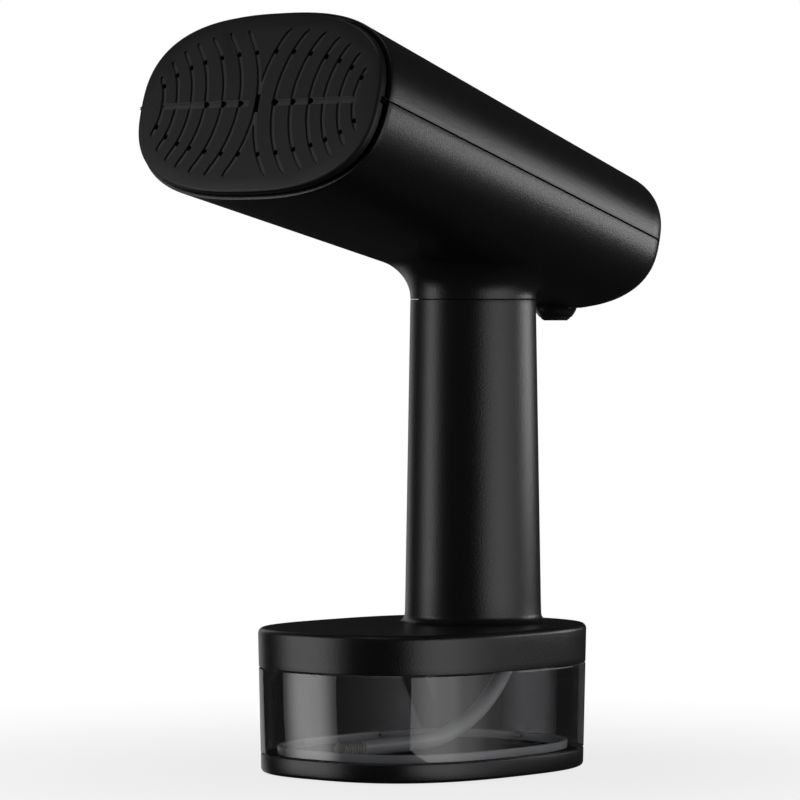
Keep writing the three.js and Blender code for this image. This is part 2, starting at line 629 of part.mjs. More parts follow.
/** A rubber mount: a ring between the pump's body and the handle's wall, open at the rear for the board. */
function pumpMount(z) {
  const reach = handleRadius(z) - HANDLE_WALL - GAP;
  const disc = rod(reach, z, z + MOUNT_THICK, 24).translate(0, -PUMP_Y, 0);
  return cut(disc, rod(PUMP_R + GAP, z - 1, z + MOUNT_THICK + 1),
    block([-reach, SWITCH_BOARD.y - PUMP_Y - 2, z - 1], [reach, 2 * reach, z + MOUNT_THICK + 1]));
}
addPiece(handle, "pump_yoke", pumpYoke(), steel, pumpAt);
const coilLow = pumpLow + YOKE.wall + GAP;
const coilHigh = pumpHigh - YOKE.wall - GAP;
addPiece(handle, "pump_coil", ring(COIL_R, PUMP_R + GAP, coilLow, coilHigh, 20), coilCopper, pumpAt);
addPiece(handle, "pump_body", pumpBody(), whiteNylon, pumpAt);
const plungerLow = pumpLow + 9;
const plungerHigh = plungerLow + PLUNGER.length;
addPiece(handle, "pump_plunger", rod(PLUNGER.r, plungerLow, plungerHigh), steel, pumpAt);
addPiece(handle, "pump_spring", coil(2.1, 0.35, 3, plungerLow - pumpLow - 2 * GAP), steel,
  [0, PUMP_Y, pumpLow + GAP]);
addPiece(handle, "pump_mount_lower", pumpMount(pumpLow - GAP - MOUNT_THICK), rubberBlack, pumpAt);
addPiece(handle, "pump_mount_upper", pumpMount(pumpHigh + GAP), rubberBlack, pumpAt);

const elbowTop = coverTop + ELBOW_RISE + GAP;
addPiece(unit, "supply_hose", tube([
  [0, HANDLE_Y + ELBOW_SHIFT, elbowTop], [0, HANDLE_Y + ELBOW_SHIFT, elbowTop + 1.2],
  [0, HANDLE_Y + PUMP_Y, pumpFoot - GAP - 1.2], [0, HANDLE_Y + PUMP_Y, pumpFoot - GAP],
], WATER_HOSE_R, 10), siliconeClear);

// ---------------------------------------------------------------- barrel shells

const barrelProfile = (inset, start, end) => {
  const bend = barrelEnd - REAR_ROUND;
  const stations = [start, bend];
  for (let i = 1; i <= 4; i += 1) stations.push(bend + (end - bend) * Math.sin((Math.PI / 2) * (i / 4)));
  return [onAxis(start), ...stations.map((along) => rim(inset, along)), onAxis(end)];
};
const barrelSolid = (inset, start, end) =>
  ovalSolid(barrelProfile(inset, start, end), barrelOutline, BARREL_POWER, 40);
const barrelOutside = () => barrelSolid(0, BARREL_START, barrelEnd);
const barrelHollow = () => barrelSolid(SHELL_WALL, BARREL_START - 1, barrelEnd - SHELL_WALL);
const below = (z) => block([-FAR, -FAR, -FAR], [FAR, FAR, z]);
const above = (z) => block([-FAR, -FAR, z], [FAR, FAR, FAR]);

const undersideAt = (along) => -barrelOutline(along).b;
/** Height of the barrel's underside above the handle's axis, in the part's frame. */
function undersideOverAxis() {
  let z = handleTop;
  for (let i = 0; i < 8; i += 1) {
    const along = FACE_REACH * Math.cos(TILT) - (z - faceZ) * Math.sin(TILT);
    z = faceZ + (undersideAt(along) - FACE_REACH * Math.sin(TILT)) / Math.cos(TILT);
  }
  return z;
}
const neckTop = undersideOverAxis();
const neckLow = handleTop + GAP;
const bossAlong = barrelEnd - BOSS_BACK;
const bossShare = (bossAlong - BARREL_START) / BARREL_LENGTH;
const bossUnder = BOSS_SINK - (FRONT_HALF_Z + (REAR_HALF_Z - FRONT_HALF_Z) * bossShare);
const bossY = faceY + bossAlong * Math.cos(TILT) + bossUnder * Math.sin(TILT);
const bossZ = faceZ - bossAlong * Math.sin(TILT) + bossUnder * Math.cos(TILT);
const postSpots = POST_SPOTS.map(([x, y]) => [x, BOARD.start + y]);
const clampSpots = [[-CLAMP.screw, CLAMP.along], [CLAMP.screw, CLAMP.along]];
const standing = ([x, y], r, top) => rod(r, undersideAt(y) + 0.8, top, 8).translate(x, y, 0);

/** The neck under the barrel: a short tube with a flare into the underside, cut level at the handle. */
function neckSolid() {
  const slope = Math.tan(TILT) - (FRONT_HALF_Z - REAR_HALF_Z) / BARREL_LENGTH;
  const rise = neckTop + 3.2;
  const flare = [[0, rise - NECK_FLARE - 6], [HANDLE_R_HIGH, rise - NECK_FLARE - 6]];
  for (let i = 0; i <= 4; i += 1) {
    const angle = (Math.PI / 2) * (i / 4);
    flare.push([HANDLE_R_HIGH + NECK_FLARE * (1 - Math.cos(angle)),
      rise - NECK_FLARE + NECK_FLARE * Math.sin(angle)]);
  }
  flare.push([0, rise]);
  const shear = new THREE.Matrix4().set(1, 0, 0, 0, 0, 1, 0, 0, 0, -slope, 1, 0, 0, 0, 0, 1);
  const leaning = turned(flare, 32).applyMatrix4(shear)
    .translate(0, HANDLE_Y - NECK_FLARE_SHIFT, slope * NECK_FLARE_SHIFT);
  const tubePart = rod(HANDLE_R_HIGH, neckLow, neckTop + 5, 32).translate(0, HANDLE_Y, 0);
  const trimmed = keep(leaning, block([-FAR, -FAR, neckLow], [FAR, FAR, FAR]));
  return join(tubePart, keep(trimmed, block([-FAR, -FAR, 0], [FAR, HANDLE_Y + 8, FAR])));
}

/** The lower half of the barrel with the neck, its spigot, the boss and the inner posts. */
function lowerShell() {
  const outer = keep(barrelOutside(), below(-GAP / 2));
  const boss = new THREE.SphereGeometry(BOSS_R, 16, 10).translate(0, bossY, bossZ);
  const joined = join(outer, inHead(neckSolid()), inHead(boss));
  const handleBore = Math.min(HANDLE_R_HIGH, handleRadius(handleTop - SPIGOT_LENGTH)) - HANDLE_WALL;
  const spigotR = handleBore - GAP;
  const neckBore = rod(spigotR - SPIGOT_WALL, handleTop - SPIGOT_LENGTH - 1, neckTop + 12, 24)
    .translate(0, HANDLE_Y, 0);
  const glandBore = rod(GLAND_R + GAP, bossZ - 2 * BOSS_R, bossZ + GLAND_LENGTH, 16)
    .translate(0, bossY, 0);
  const hollow = cut(joined, barrelHollow());
  const posts = [
    ...postSpots.map((spot) => standing(spot, POST_R, BOARD.z - GAP)),
    ...clampSpots.map((spot) => standing(spot, POST_R, CLAMP.z - GAP)),
  ];
  const drilled = ([x, y], z) =>
    rod(BOARD_SCREW.r + SCREW_PLAY, z - BOARD_SCREW.length, z + 1, 6).translate(x, y, 0);
  const holes = [
    ...postSpots.map((spot) => drilled(spot, BOARD.z)),
    ...clampSpots.map((spot) => drilled(spot, CLAMP.z)),
  ];
  const spigot = ring(spigotR, spigotR - SPIGOT_WALL, handleTop - SPIGOT_LENGTH, neckLow + 1, 24)
    .translate(0, HANDLE_Y, 0);
  return cut(join(hollow, inHead(spigot), ...posts), inHead(neckBore), inHead(glandBore), ...holes);
}
addPiece(head, "lower_shell", lowerShell(), shellPlastic);
addPiece(head, "upper_shell", keep(cut(barrelOutside(), barrelHollow()), above(GAP / 2)), shellPlastic);

// ---------------------------------------------------------------- steam plate

const plateOutline = () => ({ a: PLATE_HALF_X, b: PLATE_HALF_Z });
const plateOval = (profile) => ovalSolid(profile, plateOutline, BARREL_POWER, 40);
/** The half height at which a groove reaches the line that bounds the pattern, found by halving. */
function grooveEnd(crossing, radius) {
  const a = PLATE_HALF_X - GROOVE_MARGIN;
  const b = PLATE_HALF_Z - GROOVE_MARGIN;
  let inside = 0;
  let outside = Math.min(b, radius);
  for (let i = 0; i < 30; i += 1) {
    const z = (inside + outside) / 2;
    const x = crossing + radius - Math.sqrt(radius * radius - z * z);
    if ((x / a) ** BARREL_POWER + (z / b) ** BARREL_POWER < 1) inside = z;
    else outside = z;
  }
  return inside;
}
/** One curved groove as a flat bent bar standing in the plate's front, for the side +1 or -1. */
function grooveBar(crossing, radius, side) {
  const centre = side * (crossing + radius);
  const sweep = Math.asin(grooveEnd(crossing, radius) / radius);
  const middle = side > 0 ? Math.PI : 0;
  const shape = new THREE.Shape();
  shape.absarc(centre, 0, radius + GROOVE_WIDTH / 2, middle - sweep, middle + sweep, false);
  shape.absarc(centre, 0, radius - GROOVE_WIDTH / 2, middle + sweep, middle - sweep, true);
  shape.closePath();
  return new THREE.ExtrudeGeometry(shape, {
    depth: GROOVE_DEPTH + 1, bevelEnabled: false, curveSegments: 5,
  }).rotateX(Math.PI / 2).translate(0, GROOVE_DEPTH, 0);
}
/** Centres of the steam holes: on the mid-line and near both ends of every groove. */
function holeSpots() {
  const spots = [];
  GROOVE_CROSSINGS.forEach((crossing, i) => {
    const radius = GROOVE_RADII[i];
    const z = HOLE_SHARE * grooveEnd(crossing, radius);
    const x = crossing + radius - Math.sqrt(radius * radius - z * z);
    for (const side of [-1, 1]) {
      if (crossing > 0) spots.push([side * crossing, 0]);
      spots.push([side * x, z], [side * x, -z]);
    }
  });
  return spots;
}
/** The steam plate with its grooves, holes and middle slot. */
function facePlate() {
  const solid = plateOval([
    onAxis(0), rim(PLATE_BEVEL, 0), rim(0, PLATE_BEVEL), rim(0, PLATE_THICK), onAxis(PLATE_THICK),
  ]);
  const bars = GROOVE_CROSSINGS.flatMap((crossing, i) =>
    [-1, 1].map((side) => grooveBar(crossing, GROOVE_RADII[i], side)));
  const through = PLATE_THICK + 1;
  const holes = holeSpots().map(([x, z]) => backwards(rod(HOLE_R, -1, through, 5)).translate(x, 0, z));
  const slot = block([-SLOT_WIDTH / 2, -1, -SLOT_HEIGHT / 2], [SLOT_WIDTH / 2, through, SLOT_HEIGHT / 2]);
  return cut(solid, ...bars, ...holes, slot);
}
addPiece(head, "face_plate", facePlate(), platePaint);

const bezelOuter = SHELL_WALL + GAP;
const bezelInner = bezelOuter + BEZEL_WIDTH;
const bezelFront = BARREL_START + GAP;
const bezelBack = BARREL_START + BEZEL_DEPTH;
addPiece(head, "face_bezel", ovalSolid([
  rim(bezelInner, bezelFront), rim(bezelOuter, bezelFront), rim(bezelOuter, bezelBack),
  rim(bezelInner, bezelBack), rim(bezelInner, bezelFront),
], barrelOutline, BARREL_POWER, 40), innerPlastic);

// ---------------------------------------------------------------- boiler

const boilerOutline = () => ({ a: BOILER_HALF_X, b: BOILER_HALF_Z });
const boilerOval = (profile, segments = 32) => ovalSolid(profile, boilerOutline, BARREL_POWER, segments);
const gasketFront = PLATE_THICK + GAP;
const boilerFront = gasketFront + PLATE_GASKET + GAP;
const boilerBack = boilerFront + BOILER_DEPTH;
const coverFront = boilerBack + GAP;
const coverBack = coverFront + BOILER_COVER;
const heaterPlane = boilerBack - CHAMBER_DEPTH + HEATER_R + 1;
const screwHole = BOILER_SCREW.r + SCREW_PLAY;
/** Lays a shape that was made along +Z along the barrel, at a place across and up. */
const lengthwise = (geometry, [x, z]) => backwards(geometry).translate(x, 0, z);
/** A hole for a boiler screw. */
const screwBore = (spot, from, to) => lengthwise(rod(screwHole, from, to, 10), spot);

addPiece(head, "plate_gasket", boilerOval([
  rim(5, gasketFront), rim(1, gasketFront), rim(1, gasketFront + PLATE_GASKET),
  rim(5, gasketFront + PLATE_GASKET), rim(5, gasketFront),
]), siliconeClear);
addPiece(head, "boiler_body", cut(
  boilerOval([onAxis(boilerFront), rim(0, boilerFront), rim(0, boilerBack), onAxis(boilerBack)]),
  boilerOval([onAxis(boilerBack - CHAMBER_DEPTH), rim(CHAMBER_INSET, boilerBack - CHAMBER_DEPTH),
    rim(CHAMBER_INSET, boilerBack + 1), onAxis(boilerBack + 1)]),
  ...STEAM_PORTS.spots.map((x) => lengthwise(rod(STEAM_PORTS.r, boilerFront - 1, boilerBack, 10), [x, 0])),
  ...BOILER_SCREW_SPOTS.map((spot) => screwBore(spot, coverBack - BOILER_SCREW.length, boilerBack + 1)),
), castAluminium);
const heaterBore = (x) => lengthwise(rod(HEATER_R + GAP, coverFront - 1, coverBack + 1), [x, 0]);
addPiece(head, "boiler_cover", cut(
  boilerOval([onAxis(coverFront), rim(0, coverFront), rim(0, coverBack), onAxis(coverBack)]),
  ...[-HEATER_HALF, HEATER_HALF].map(heaterBore),
  lengthwise(rod(INLET.r + GAP, coverFront - 1, coverBack + 1, 12), INLET.spot),
  ...BOILER_SCREW_SPOTS.map((spot) => screwBore(spot, coverFront - 1, coverBack + 1)),
), castAluminium);
BOILER_SCREW_SPOTS.forEach(([x, z], i) => {
  addPiece(head, `boiler_screw_${i + 1}`, backwards(screw(BOILER_SCREW)), steel, [x, coverBack + GAP, z]);
});

const heaterEnd = coverBack + HEATER_END;
addPiece(head, "heating_element", tube([
  [-HEATER_HALF, heaterEnd, 0], [-HEATER_HALF, coverFront, 0],
  [-HEATER_HALF, heaterPlane + HEATER_CORNER, 0], [-HEATER_HALF + 2, heaterPlane + 2, 0],
  [-HEATER_HALF + HEATER_CORNER, heaterPlane, 0], [0, heaterPlane, 0],
  [HEATER_HALF - HEATER_CORNER, heaterPlane, 0], [HEATER_HALF - 2, heaterPlane + 2, 0],
  [HEATER_HALF, heaterPlane + HEATER_CORNER, 0], [HEATER_HALF, coverFront, 0],
  [HEATER_HALF, heaterEnd, 0],
], HEATER_R, 26), steel);
const inletEnd = coverBack + INLET.length;
addPiece(head, "boiler_inlet", backwards(turned([
  [0, coverFront - 1], [INLET.r, coverFront - 1], [INLET.r, coverBack + GAP], [3.4, coverBack + GAP],
  [3.4, coverBack + 2.5], [1.8, coverBack + 2.5], [1.8, inletEnd], [0, inletEnd],
], 14)), brass, [INLET.spot[0], 0, INLET.spot[1]]);
addPiece(head, "thermostat", backwards(turned([
  [0, 0], [6.4, 0], [6.4, 3.6], [4.8, 3.6], [4.8, 6.4], [0, 6.4],
], 20)), steel, [-7, coverBack + GAP, 8.5]);
addPiece(head, "thermal_fuse", join(
  rod(2, -5, 5, 12).rotateY(Math.PI / 2).translate(0, 2.3, 0),
  block([-2, 0, -3.4], [2, 1.4, 3.4]),
), whiteNylon, [9.5, coverBack + GAP, 9]);

const shieldInner = -SHIELD_GAP;
const shieldOuter = shieldInner - SHIELD_THICK;
const shieldFront = bezelBack + 0.7;
const shieldBack = shieldFront + SHIELD_LENGTH;
addPiece(head, "heat_shield", boilerOval([
  rim(shieldInner, shieldFront), rim(shieldOuter, shieldFront), rim(shieldOuter, shieldBack),
  rim(shieldInner, shieldBack), rim(shieldInner, shieldFront),
], 40), steel);

/** The carrier that holds the boiler in the shells: an oval frame with two posts. */
function boilerCarrier() {
  const inset = SHELL_WALL + GAP;
  const frame = ovalSolid([
    rim(inset + CARRIER_WIDTH, CARRIER_Y), rim(inset, CARRIER_Y), rim(inset, CARRIER_Y + CARRIER_THICK),
    rim(inset + CARRIER_WIDTH, CARRIER_Y + CARRIER_THICK), rim(inset + CARRIER_WIDTH, CARRIER_Y),
  ], barrelOutline, BARREL_POWER, 32);
  const posts = [-1, 1].map((side) =>
    lengthwise(rod(2.4, coverBack + GAP, CARRIER_Y + 1, 10), [side * 36.6, 0]));
  return join(frame, ...posts);
}
addPiece(head, "boiler_carrier", boilerCarrier(), innerPlastic);

// The water line runs up the neck to the boiler's inlet; its ends are given in the part's frame.
const inletTip = new THREE.Vector3(INLET.spot[0], inletEnd + GAP, INLET.spot[1]).applyEuler(head.rotation)
  .add(head.position);
addPiece(unit, "boiler_hose", tube([
  [0, HANDLE_Y + PUMP_Y, pumpCrown + GAP], [0, HANDLE_Y + PUMP_Y, pumpCrown + 6],
  [0, HANDLE_Y - 4, handleTop], [0, HANDLE_Y - 9, neckTop + 10], [0, HANDLE_Y - 22, neckTop + 20],
  [0, inletTip.y + 8, inletTip.z - 8 * Math.tan(TILT)], [0, inletTip.y, inletTip.z],
], BOILER_HOSE_R, 22), siliconeClear);

// ---------------------------------------------------------------- electronics and cord outlet

const boardFace = BOARD.z + BOARD.thick;
const boardScrewR = BOARD_SCREW.r + SCREW_PLAY;
const onBoard = ({ x, y, height }) =>
  block([x[0], BOARD.start + y[0], boardFace + GAP], [x[1], BOARD.start + y[1], boardFace + height]);
addPiece(head, "main_board", cut(
  block([-BOARD.halfX, BOARD.start, BOARD.z], [BOARD.halfX, BOARD.start + BOARD.length, boardFace]),
  ...postSpots.map(([x, y]) => rod(boardScrewR, BOARD.z - 1, boardFace + 1, 8).translate(x, y, 0)),
), boardGreen);
postSpots.slice(0, 2).forEach(([x, y], i) => {
  const longer = { ...BOARD_SCREW, length: BOARD_SCREW.length + BOARD.thick };
  addPiece(head, `board_screw_${i + 1}`, screw(longer), steel, [x, y, boardFace + GAP]);
});
addPiece(head, "relay", onBoard(RELAY), innerPlastic);
addPiece(head, "film_capacitor", onBoard(CAPACITOR), whiteNylon);
addPiece(head, "terminal_block", cut(
  onBoard(TERMINALS),
  ...[-TERMINALS.lead, TERMINALS.lead].map((x) =>
    lengthwise(rod(TERMINALS.bore, BOARD.start - 1, BOARD.start + 6, 8), [x, boardFace + LEAD_RISE])),
), whiteNylon);

/** A lead from the terminal block to one end of the heating element. */
function heaterLead(side) {
  const x = side * HEATER_HALF;
  const z = boardFace + LEAD_RISE;
  return tube([
    [side * TERMINALS.lead, BOARD.start + 1 - GAP, z], [side * 7, BOARD.start - 8, z],
    [side * 16, 72, 6], [x * 0.92, 54, 2], [x, heaterEnd + 7, 0], [x, heaterEnd + GAP, 0],
  ], LEAD_R, 16, 6);
}
addPiece(head, "heater_lead_left", heaterLead(-1), wireBlue);
addPiece(head, "heater_lead_right", heaterLead(1), wireRed);

addPiece(head, "cord_clamp", cut(
  block([-CLAMP.half, CLAMP.along - CLAMP.width / 2, CLAMP.z],
    [CLAMP.half, CLAMP.along + CLAMP.width / 2, CLAMP.z + CLAMP.thick]),
  ...clampSpots.map(([x, y]) => rod(boardScrewR, CLAMP.z - 1, CLAMP.z + 4, 8).translate(x, y, 0)),
), innerPlastic);
clampSpots.forEach(([x, y], i) => {
  const longer = { ...BOARD_SCREW, length: BOARD_SCREW.length + CLAMP.thick };
  addPiece(head, `clamp_screw_${i + 1}`, screw(longer), steel, [x, y, CLAMP.z + CLAMP.thick + GAP]);
});

const domeDrop = (r) => bossZ - Math.sqrt(BOSS_R * BOSS_R - r * r);
addPiece(unit, "cord_gland", turned([
  [GLAND_BORE, domeDrop(GLAND_BORE)], [GLAND_R, domeDrop(GLAND_R)], [GLAND_R, bossZ + GLAND_LENGTH],
  [GLAND_BORE, bossZ + GLAND_LENGTH], [GLAND_BORE, domeDrop(GLAND_BORE)],
], 20), rubberBlack, [0, bossY, 0]);

export default steamer;
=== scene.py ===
"""Handheld garment steamer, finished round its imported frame.

The frame gives the bodies and the places. This file models the surfaces that are seen: the barrel's two
shells with the neck and the cord boss, the steam plate, the handle with its controls, and the oval water
tank with its suction hose. Metres, +Z up, the steam plate faces -Y.
"""
import json
import logging
import math
from dataclasses import dataclass, field
from enum import Enum
from functools import cache
from typing import Callable, Iterable, Iterator, Optional, Sequence

import bmesh
import bpy
from mathutils import Matrix, Vector
from mathutils.bvhtree import BVHTree


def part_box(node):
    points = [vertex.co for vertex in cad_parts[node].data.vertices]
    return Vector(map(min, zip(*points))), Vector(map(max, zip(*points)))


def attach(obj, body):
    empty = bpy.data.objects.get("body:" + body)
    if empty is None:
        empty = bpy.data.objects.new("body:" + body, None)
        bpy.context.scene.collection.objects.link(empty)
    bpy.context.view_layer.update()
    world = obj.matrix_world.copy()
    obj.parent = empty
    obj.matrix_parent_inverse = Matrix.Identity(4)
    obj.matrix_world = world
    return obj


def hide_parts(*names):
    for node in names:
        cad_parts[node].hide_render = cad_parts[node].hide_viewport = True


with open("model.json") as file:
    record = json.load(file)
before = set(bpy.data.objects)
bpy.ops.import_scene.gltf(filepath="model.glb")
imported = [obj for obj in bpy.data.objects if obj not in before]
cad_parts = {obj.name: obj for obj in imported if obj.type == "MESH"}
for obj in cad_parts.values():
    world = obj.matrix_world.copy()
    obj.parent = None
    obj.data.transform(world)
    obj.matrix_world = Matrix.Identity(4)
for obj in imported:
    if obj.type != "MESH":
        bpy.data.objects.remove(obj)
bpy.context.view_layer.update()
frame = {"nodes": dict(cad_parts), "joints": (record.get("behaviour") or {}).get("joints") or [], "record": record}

log = logging.getLogger("steamer")
MM = 0.001
HALVINGS = 40  # how often a range is halved when a limit is sought
COAT_ROUGHNESS = 0.08
Place = Callable[[float, Vector], Vector]


class Slot(Enum):
    """The record's material slots that the finished pieces take."""

    SHELL = "shell_plastic"
    PLATE = "plate_coating"
    INNER = "inner_plastic"
    TANK = "smoked_tank"
    SILICONE = "silicone"
    RUBBER = "black_rubber"
    ALUMINIUM = "cast_aluminium"
    STEEL = "steel"
    BRASS = "brass"
    BOARD = "circuit_board"
    COPPER = "copper_winding"
    NYLON = "white_nylon"
    LENS = "clear_lens"
    SLEEVE = "lead_sleeve"


class Body(Enum):
    """The rigid bodies of the frame."""

    TANK = "tank"
    UNIT = "main_unit"
    TRIGGER = "steam_trigger"
    BUTTON = "power_button"
    PLUNGER = "pump_plunger"


# ---------------------------------------------------------------- shared helpers


def link(made: bpy.types.Object) -> None:
    """Puts an object into the scene."""
    bpy.context.scene.collection.objects.link(made)


def mesh_object(name: str, bm: bmesh.types.BMesh) -> bpy.types.Object:
    """Makes an object from a mesh under construction, which is freed.

    Args:
        name: The name of the object and of its mesh.
        bm: The mesh.

    Returns:
        The object, not yet in the scene.
    """
    mesh = bpy.data.meshes.new(name)
    bm.to_mesh(mesh)
    bm.free()
    return bpy.data.objects.new(name, mesh)


def node_material(name: str, shaded: bool = True) -> bpy.types.Material:
    """Makes a node material.

    Args:
        name: Its name.
        shaded: Whether it keeps the plain surface shader.

    Returns:
        The material.
    """
    made = bpy.data.materials.new(name)
    made.use_nodes = True
    if not shaded:
        made.node_tree.nodes.remove(made.node_tree.nodes["Principled BSDF"])
    return made


def feed(tree: bpy.types.NodeTree, node: bpy.types.Node, feeds: dict) -> None:
    """Gives a node's inputs what they need.

    Args:
        tree: The tree that holds the node.
        node: The node.
        feeds: A value, or a socket to link, for each input's name or number.
    """
    for key, value in feeds.items():
        if isinstance(value, bpy.types.NodeSocket):
            tree.links.new(value, node.inputs[key])
        else:
            node.inputs[key].default_value = value


def add_node(tree: bpy.types.NodeTree, kind: str, output: str, feeds: dict,
             operation: str = "") -> bpy.types.NodeSocket:
    """Adds a node to a tree.

    Args:
        tree: The tree.
        kind: The node's type.
        output: The output that is wanted.
        feeds: A value, or a socket to link, for each input's name or number.
        operation: What a math node works out.

    Returns:
        The wanted output.
    """
    made = tree.nodes.new(kind)
    if operation:
        made.operation = operation
    feed(tree, made, feeds)
    return made.outputs[output]


def object_place(tree: bpy.types.NodeTree) -> bpy.types.NodeSocket:
    """The place on the object, for a pattern to follow."""
    return add_node(tree, "ShaderNodeTexCoord", "Object", {})


def quarter(steps: int, first: int = 1) -> list[tuple[float, float]]:
    """Sine and cosine at even steps of a quarter turn, from the first step to the last."""
    turns = [math.pi / 2 * step / steps for step in range(first, steps + 1)]
    return [(math.sin(turn), math.cos(turn)) for turn in turns]


def furthest(low: float, high: float, inside: Callable[[float], bool]) -> float:
    """The largest value between two bounds that is still inside, found by halving.

    Args:
        low: A value that is inside.
        high: A value past the limit.
        inside: Says whether a value is still inside.

    Returns:
        The value at the limit.
    """
    for _step in range(HALVINGS):
        middle = (low + high) / 2
        if inside(middle):
            low = middle
        else:
            high = middle
    return low


def add_block(bm: bmesh.types.BMesh, size: tuple[float, float, float],
              place: Matrix) -> list[bmesh.types.BMVert]:
    """Adds a box to a mesh.

    Args:
        bm: The mesh.
        size: The box's size along its own axes.
        place: Where its middle goes and how it is turned.

    Returns:
        Its corners.
    """
    corners = bmesh.ops.create_cube(bm, size=1.0)["verts"]
    bmesh.ops.transform(bm, matrix=place @ Matrix.Diagonal((*size, 1)), verts=corners)
    return corners


def discs(z: float) -> Callable[[float, float], Place]:
    """Rings round a line along Y at a height, each given by its radius and its Y."""
    return lambda radius, y: lambda turn, _: Vector((radius * math.cos(turn), y, z + radius * math.sin(turn)))


# ---------------------------------------------------------------- finishes


@dataclass(frozen=True)
class Finish:
    """A procedural finish on object coordinates: colour drift, roughness drift and a fine grain.

    Attributes:
        name: The material's name.
        colour: Linear base colour.
        roughness: Middle roughness.
        metallic: Metallic share.
        specular: Specular level on the shader's own scale.
        drift: How far the colour and the roughness wander, as a share.
        drift_size: Size of that wandering, in metres.
        grain_size: Size of the moulded grain, in metres.
        grain_height: Height of that grain, in metres.
        coat: Weight of a clear coat.
    """

    name: str
    colour: tuple[float, float, float]
    roughness: float
    metallic: float = 0.0
    specular: float = 0.5
    drift: float = 0.12
    drift_size: float = 12 * MM
    grain_size: float = 0.35 * MM
    grain_height: float = 0.02 * MM
    coat: float = 0.0

    def material(self) -> bpy.types.Material:
        """Makes the node material.

        Returns:
            The material, with its shader dressed.
        """
        made = node_material(self.name)
        tree = made.node_tree
        shader = tree.nodes["Principled BSDF"]
        place = object_place(tree)
        grain = self.noise(tree, place, 1 / self.grain_size, 2.0)
        tone = add_node(tree, "ShaderNodeMixRGB", "Color", {
            "Fac": self.noise(tree, place, 1 / self.drift_size, 3.0),
            "Color1": (*[c * (1 - self.drift) for c in self.colour], 1),
            "Color2": (*[c * (1 + self.drift) for c in self.colour], 1)})
        gloss = add_node(tree, "ShaderNodeMapRange", "Result", {
            "Value": grain, "To Min": self.roughness * (1 - self.drift),
            "To Max": min(1.0, self.roughness * (1 + self.drift))})
        bump = add_node(tree, "ShaderNodeBump", "Normal", {
            "Strength": 1.0, "Distance": self.grain_height, "Height": self.relief(tree, place, grain)})
        feed(tree, shader, {
            "Base Color": tone, "Roughness": gloss, "Normal": bump, "Metallic": self.metallic,
            "Specular IOR Level": self.specular, "Coat Weight": self.coat, "Coat Roughness": COAT_ROUGHNESS})
        self.dress(tree, shader)
        return made

    @staticmethod
    def noise(tree: bpy.types.NodeTree, place: bpy.types.NodeSocket, scale: float,
              detail: float) -> bpy.types.NodeSocket:
        """Adds a noise texture and returns its value."""
        return add_node(tree, "ShaderNodeTexNoise", "Fac", {
            "Vector": place, "Scale": scale, "Detail": detail})

    def relief(self, tree: bpy.types.NodeTree, place: bpy.types.NodeSocket,
               grain: bpy.types.NodeSocket) -> bpy.types.NodeSocket:
        """The height that the bump reads; a plain finish uses its grain."""
        return grain

    def dress(self, tree: bpy.types.NodeTree, shader: bpy.types.Node) -> None:
        """Adds what a special finish needs; a plain finish needs nothing."""


@dataclass(frozen=True)
class BrushedFinish(Finish):
    """Metal with fine lines drawn along one axis.

    Attributes:
        stretch: How closely the lines lie along each axis.
    """

    stretch: tuple[float, float, float] = (1.0, 1.0, 0.03)

    def relief(self, tree: bpy.types.NodeTree, place: bpy.types.NodeSocket,
               grain: bpy.types.NodeSocket) -> bpy.types.NodeSocket:
        """Lines from a noise that is stretched along the drawing direction."""
        drawn = add_node(tree, "ShaderNodeMapping", "Vector", {"Vector": place, "Scale": self.stretch})
        return self.noise(tree, drawn, 1 / self.grain_size, 4.0)


@dataclass(frozen=True)
class MilkyFinish(Finish):
    """Silicone and frosted plastic that light enters a little way.

    Attributes:
        depth: How far the light wanders inside, in metres.
    """

    depth: float = 1.5 * MM

    def dress(self, tree: bpy.types.NodeTree, shader: bpy.types.Node) -> None:
        """Sets the scattering under the surface."""
        feed(tree, shader, {"Subsurface Weight": 0.6, "Subsurface Radius": (1.0, 1.0, 1.0),
                            "Subsurface Scale": self.depth})


@dataclass(frozen=True)
class SmokedFinish:
    """Smoked clear plastic: a tinted pane with a mirror of its surroundings on both faces.

    Attributes:
        name: The material's name.
        tint: Share of light that one face lets through.
        gloss: Roughness of the polished faces.
        mirror: Share of light that it mirrors when looked at squarely.
        rim: The same at a grazing angle.
    """

    name: str = "smoked_plastic"
    tint: float = 0.62
    gloss: float = 0.015
    mirror: float = 0.06
    rim: float = 0.8

    def material(self) -> bpy.types.Material:
        """Makes the node material.

        Returns:
            The material, see-through and glossy.
        """
        made = node_material(self.name, shaded=False)
        tree = made.node_tree
        haze = Finish.noise(tree, object_place(tree), 60.0, 2.0)
        tone = add_node(tree, "ShaderNodeMixRGB", "Color", {
            "Fac": haze, "Color1": (self.tint * 0.97, self.tint * 0.97, self.tint * 0.98, 1),
            "Color2": (self.tint * 1.03, self.tint * 1.03, self.tint * 1.04, 1)})
        pane = add_node(tree, "ShaderNodeBsdfTransparent", "BSDF", {"Color": tone})
        ripple = add_node(tree, "ShaderNodeBump", "Normal", {"Height": haze, "Distance": 0.004 * MM})
        mirror = add_node(tree, "ShaderNodeBsdfGlossy", "BSDF", {"Roughness": self.gloss, "Normal": ripple})
        facing = add_node(tree, "ShaderNodeLayerWeight", "Facing", {"Blend": 0.5})
        grazing = add_node(tree, "ShaderNodeMath", "Value", {0: facing, 1: 5.0}, operation="POWER")
        share = add_node(tree, "ShaderNodeMapRange", "Result", {
            "Value": grazing, "To Min": self.mirror, "To Max": self.rim})
        both = add_node(tree, "ShaderNodeMixShader", "Shader", {"Fac": share, 1: pane, 2: mirror})
        feed(tree, tree.nodes["Material Output"], {"Surface": both})
        return made


